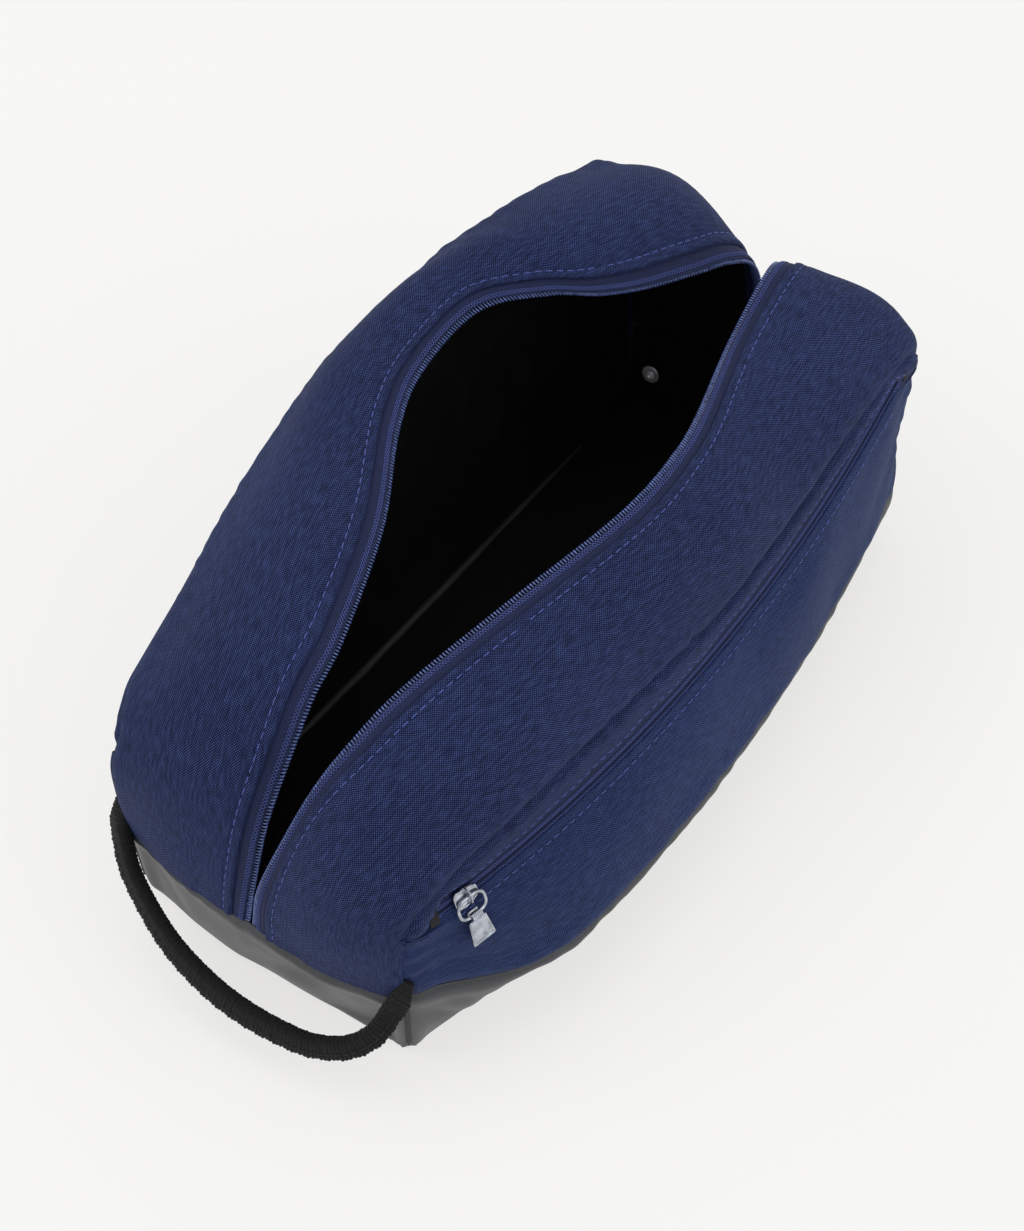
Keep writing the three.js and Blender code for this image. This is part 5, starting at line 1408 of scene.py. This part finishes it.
# flange direction: away from the bag and down
Fd = unit(path - np.array((-176.0, 0.0, 50.0)))
Fv = unit(Fd - Tn * (Tn * Fd).sum(1)[:, None])
Gv = np.cross(Tn, Fv)
endk = ease(np.minimum(L, L[-1] - L) / 13.0)          # 0 in the seam, 1 where it is round
nth = 40
th = 2 * np.pi * np.arange(nth) / nth
cx, cy = np.cos(th), np.sin(th)
lobe = np.where(cx > 0, cx, 0)
roundx = 3.35 * cx + 2.6 * lobe ** 1.6
roundy = 3.35 * cy * (1 - 0.40 * lobe ** 1.2)
flatx, flaty = 3.6 * np.sign(cx) * np.abs(cx) ** 0.6, 1.3 * np.sign(cy) * np.abs(cy) ** 0.8
X = flatx[None] * (1 - endk[:, None]) + roundx[None] * endk[:, None]
Y = flaty[None] * (1 - endk[:, None]) + roundy[None] * endk[:, None]
rib = np.abs(np.sin(np.pi * L / RIB))[:, None] ** 0.7
jit = 1 + 0.03 * np.sin(L * 0.9)[:, None] * np.cos(3 * th)[None] + 0.02 * np.sin(L * 2.3)[:, None]
amp = (0.085 + 0.012 * np.sin(th * 2)[None]) * 1.0
sc = (0.965 + amp * rib) * jit
# the sewn line sits in a shallow valley between the round part and the flat edge
val = 1 - 0.10 * np.exp(-((X - 3.7) / 0.5) ** 2) * endk[:, None]
V = path[:, None] + Fv[:, None] * (X * sc)[..., None] + Gv[:, None] * (Y * sc * val)[..., None]
nL_ = len(path)
i, jj = np.meshgrid(np.arange(nL_ - 1), np.arange(nth), indexing="ij")
a = i * nth + jj; b = (i + 1) * nth + jj; c_ = (i + 1) * nth + (jj + 1) % nth; d_ = i * nth + (jj + 1) % nth
F = np.stack([a.ravel(), b.ravel(), c_.ravel(), d_.ravel()], 1).tolist()
F.append(list(range(nth))[::-1]); F.append(list(range((nL_ - 1) * nth, nL_ * nth)))
per = np.concatenate([[0], np.cumsum(np.hypot(np.diff(roundx), np.diff(roundy)))]) * MM
uvh = np.stack([np.repeat(L * MM, nth), np.tile(per, nL_)], 1)
hd = new_obj("handle_strap", V.reshape(-1, 3), F, WEB, uvh)
bmx = bmesh.new(); bmx.from_mesh(hd.data); bmesh.ops.recalc_face_normals(bmx, faces=bmx.faces); bmx.to_mesh(hd.data); bmx.free()
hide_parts("handle_webbing", "handle_core", "handle_tail_front", "handle_tail_back")
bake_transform(hd)
mid_ = (L > 16) & (L < L[-1] - 16)
for nm, sg in (("upper", 1), ("lower", -1)):
    ln_ = path[mid_] + Fv[mid_] * 3.75 + Gv[mid_] * (sg * 2.0)
    o = stitches(f"handle_stitch_{nm}", ln_, Gv[mid_] * sg, DARK_THREAD, 2.6, 1.2, 0.24, 0.0)
    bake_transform(o)

# ------------------------------------------------------------------ stage: floor, lights
def stage_scene():
    me = bpy.data.meshes.new("floor")
    bm = bmesh.new()
    R = 6.0
    # flat floor, 12 m square
    vs = [bm.verts.new((x, y, 0.0)) for x, y in ((-R, -R), (R, -R), (R, R), (-R, R))]
    bm.faces.new(vs)
    bm.to_mesh(me); bm.free()
    fl = bpy.data.objects.new("floor", me)
    bpy.context.scene.collection.objects.link(fl)
    m = Mat("floor_paper", 0.85)
    o_ = m.coords("Object")
    n_ = m.noise(o_, 3.0, 2.0)
    m.set(m.ramp(n_, [(0.2, (0.247, 0.245, 0.242)), (0.8, (0.258, 0.256, 0.252))]))
    pb = [q for q in m.m.node_tree.nodes if q.type == "BSDF_PRINCIPLED"][0]
    pb.inputs["Emission Color"].default_value = (1.0, 0.991, 0.974, 1)
    pb.inputs["Emission Strength"].default_value = 0.675
    me.materials.append(m.m)
    w = bpy.data.worlds.new("studio")
    w.use_nodes = True
    w.node_tree.nodes["Background"].inputs[0].default_value = (0.97, 0.98, 1.0, 1)
    w.node_tree.nodes["Background"].inputs[1].default_value = 0.72
    bpy.context.scene.world = w
    bpy.context.scene.view_settings.view_transform = "Standard"

    def area(name, loc, size, power, col=(1, 1, 1)):
        l = bpy.data.lights.new(name, "AREA")
        l.shape = "RECTANGLE"; l.size, l.size_y = size
        l.energy = power; l.color = col
        ob = bpy.data.objects.new(name, l)
        ob.location = loc
        ob.rotation_euler = (Vector((0, 0, 0.06)) - Vector(loc)).to_track_quat("-Z", "Y").to_euler()
        bpy.context.scene.collection.objects.link(ob)
    area("key", (-1.3, 1.2, 1.9), (1.5, 1.5), 12, (1.0, 0.99, 0.97))
    area("fill", (0.6, -1.9, 1.3), (1.6, 1.2), 8, (0.97, 0.98, 1.0))
    area("top", (0.3, 0.3, 2.4), (1.8, 1.8), 7)


stage_scene()
bpy.context.view_layer.update()
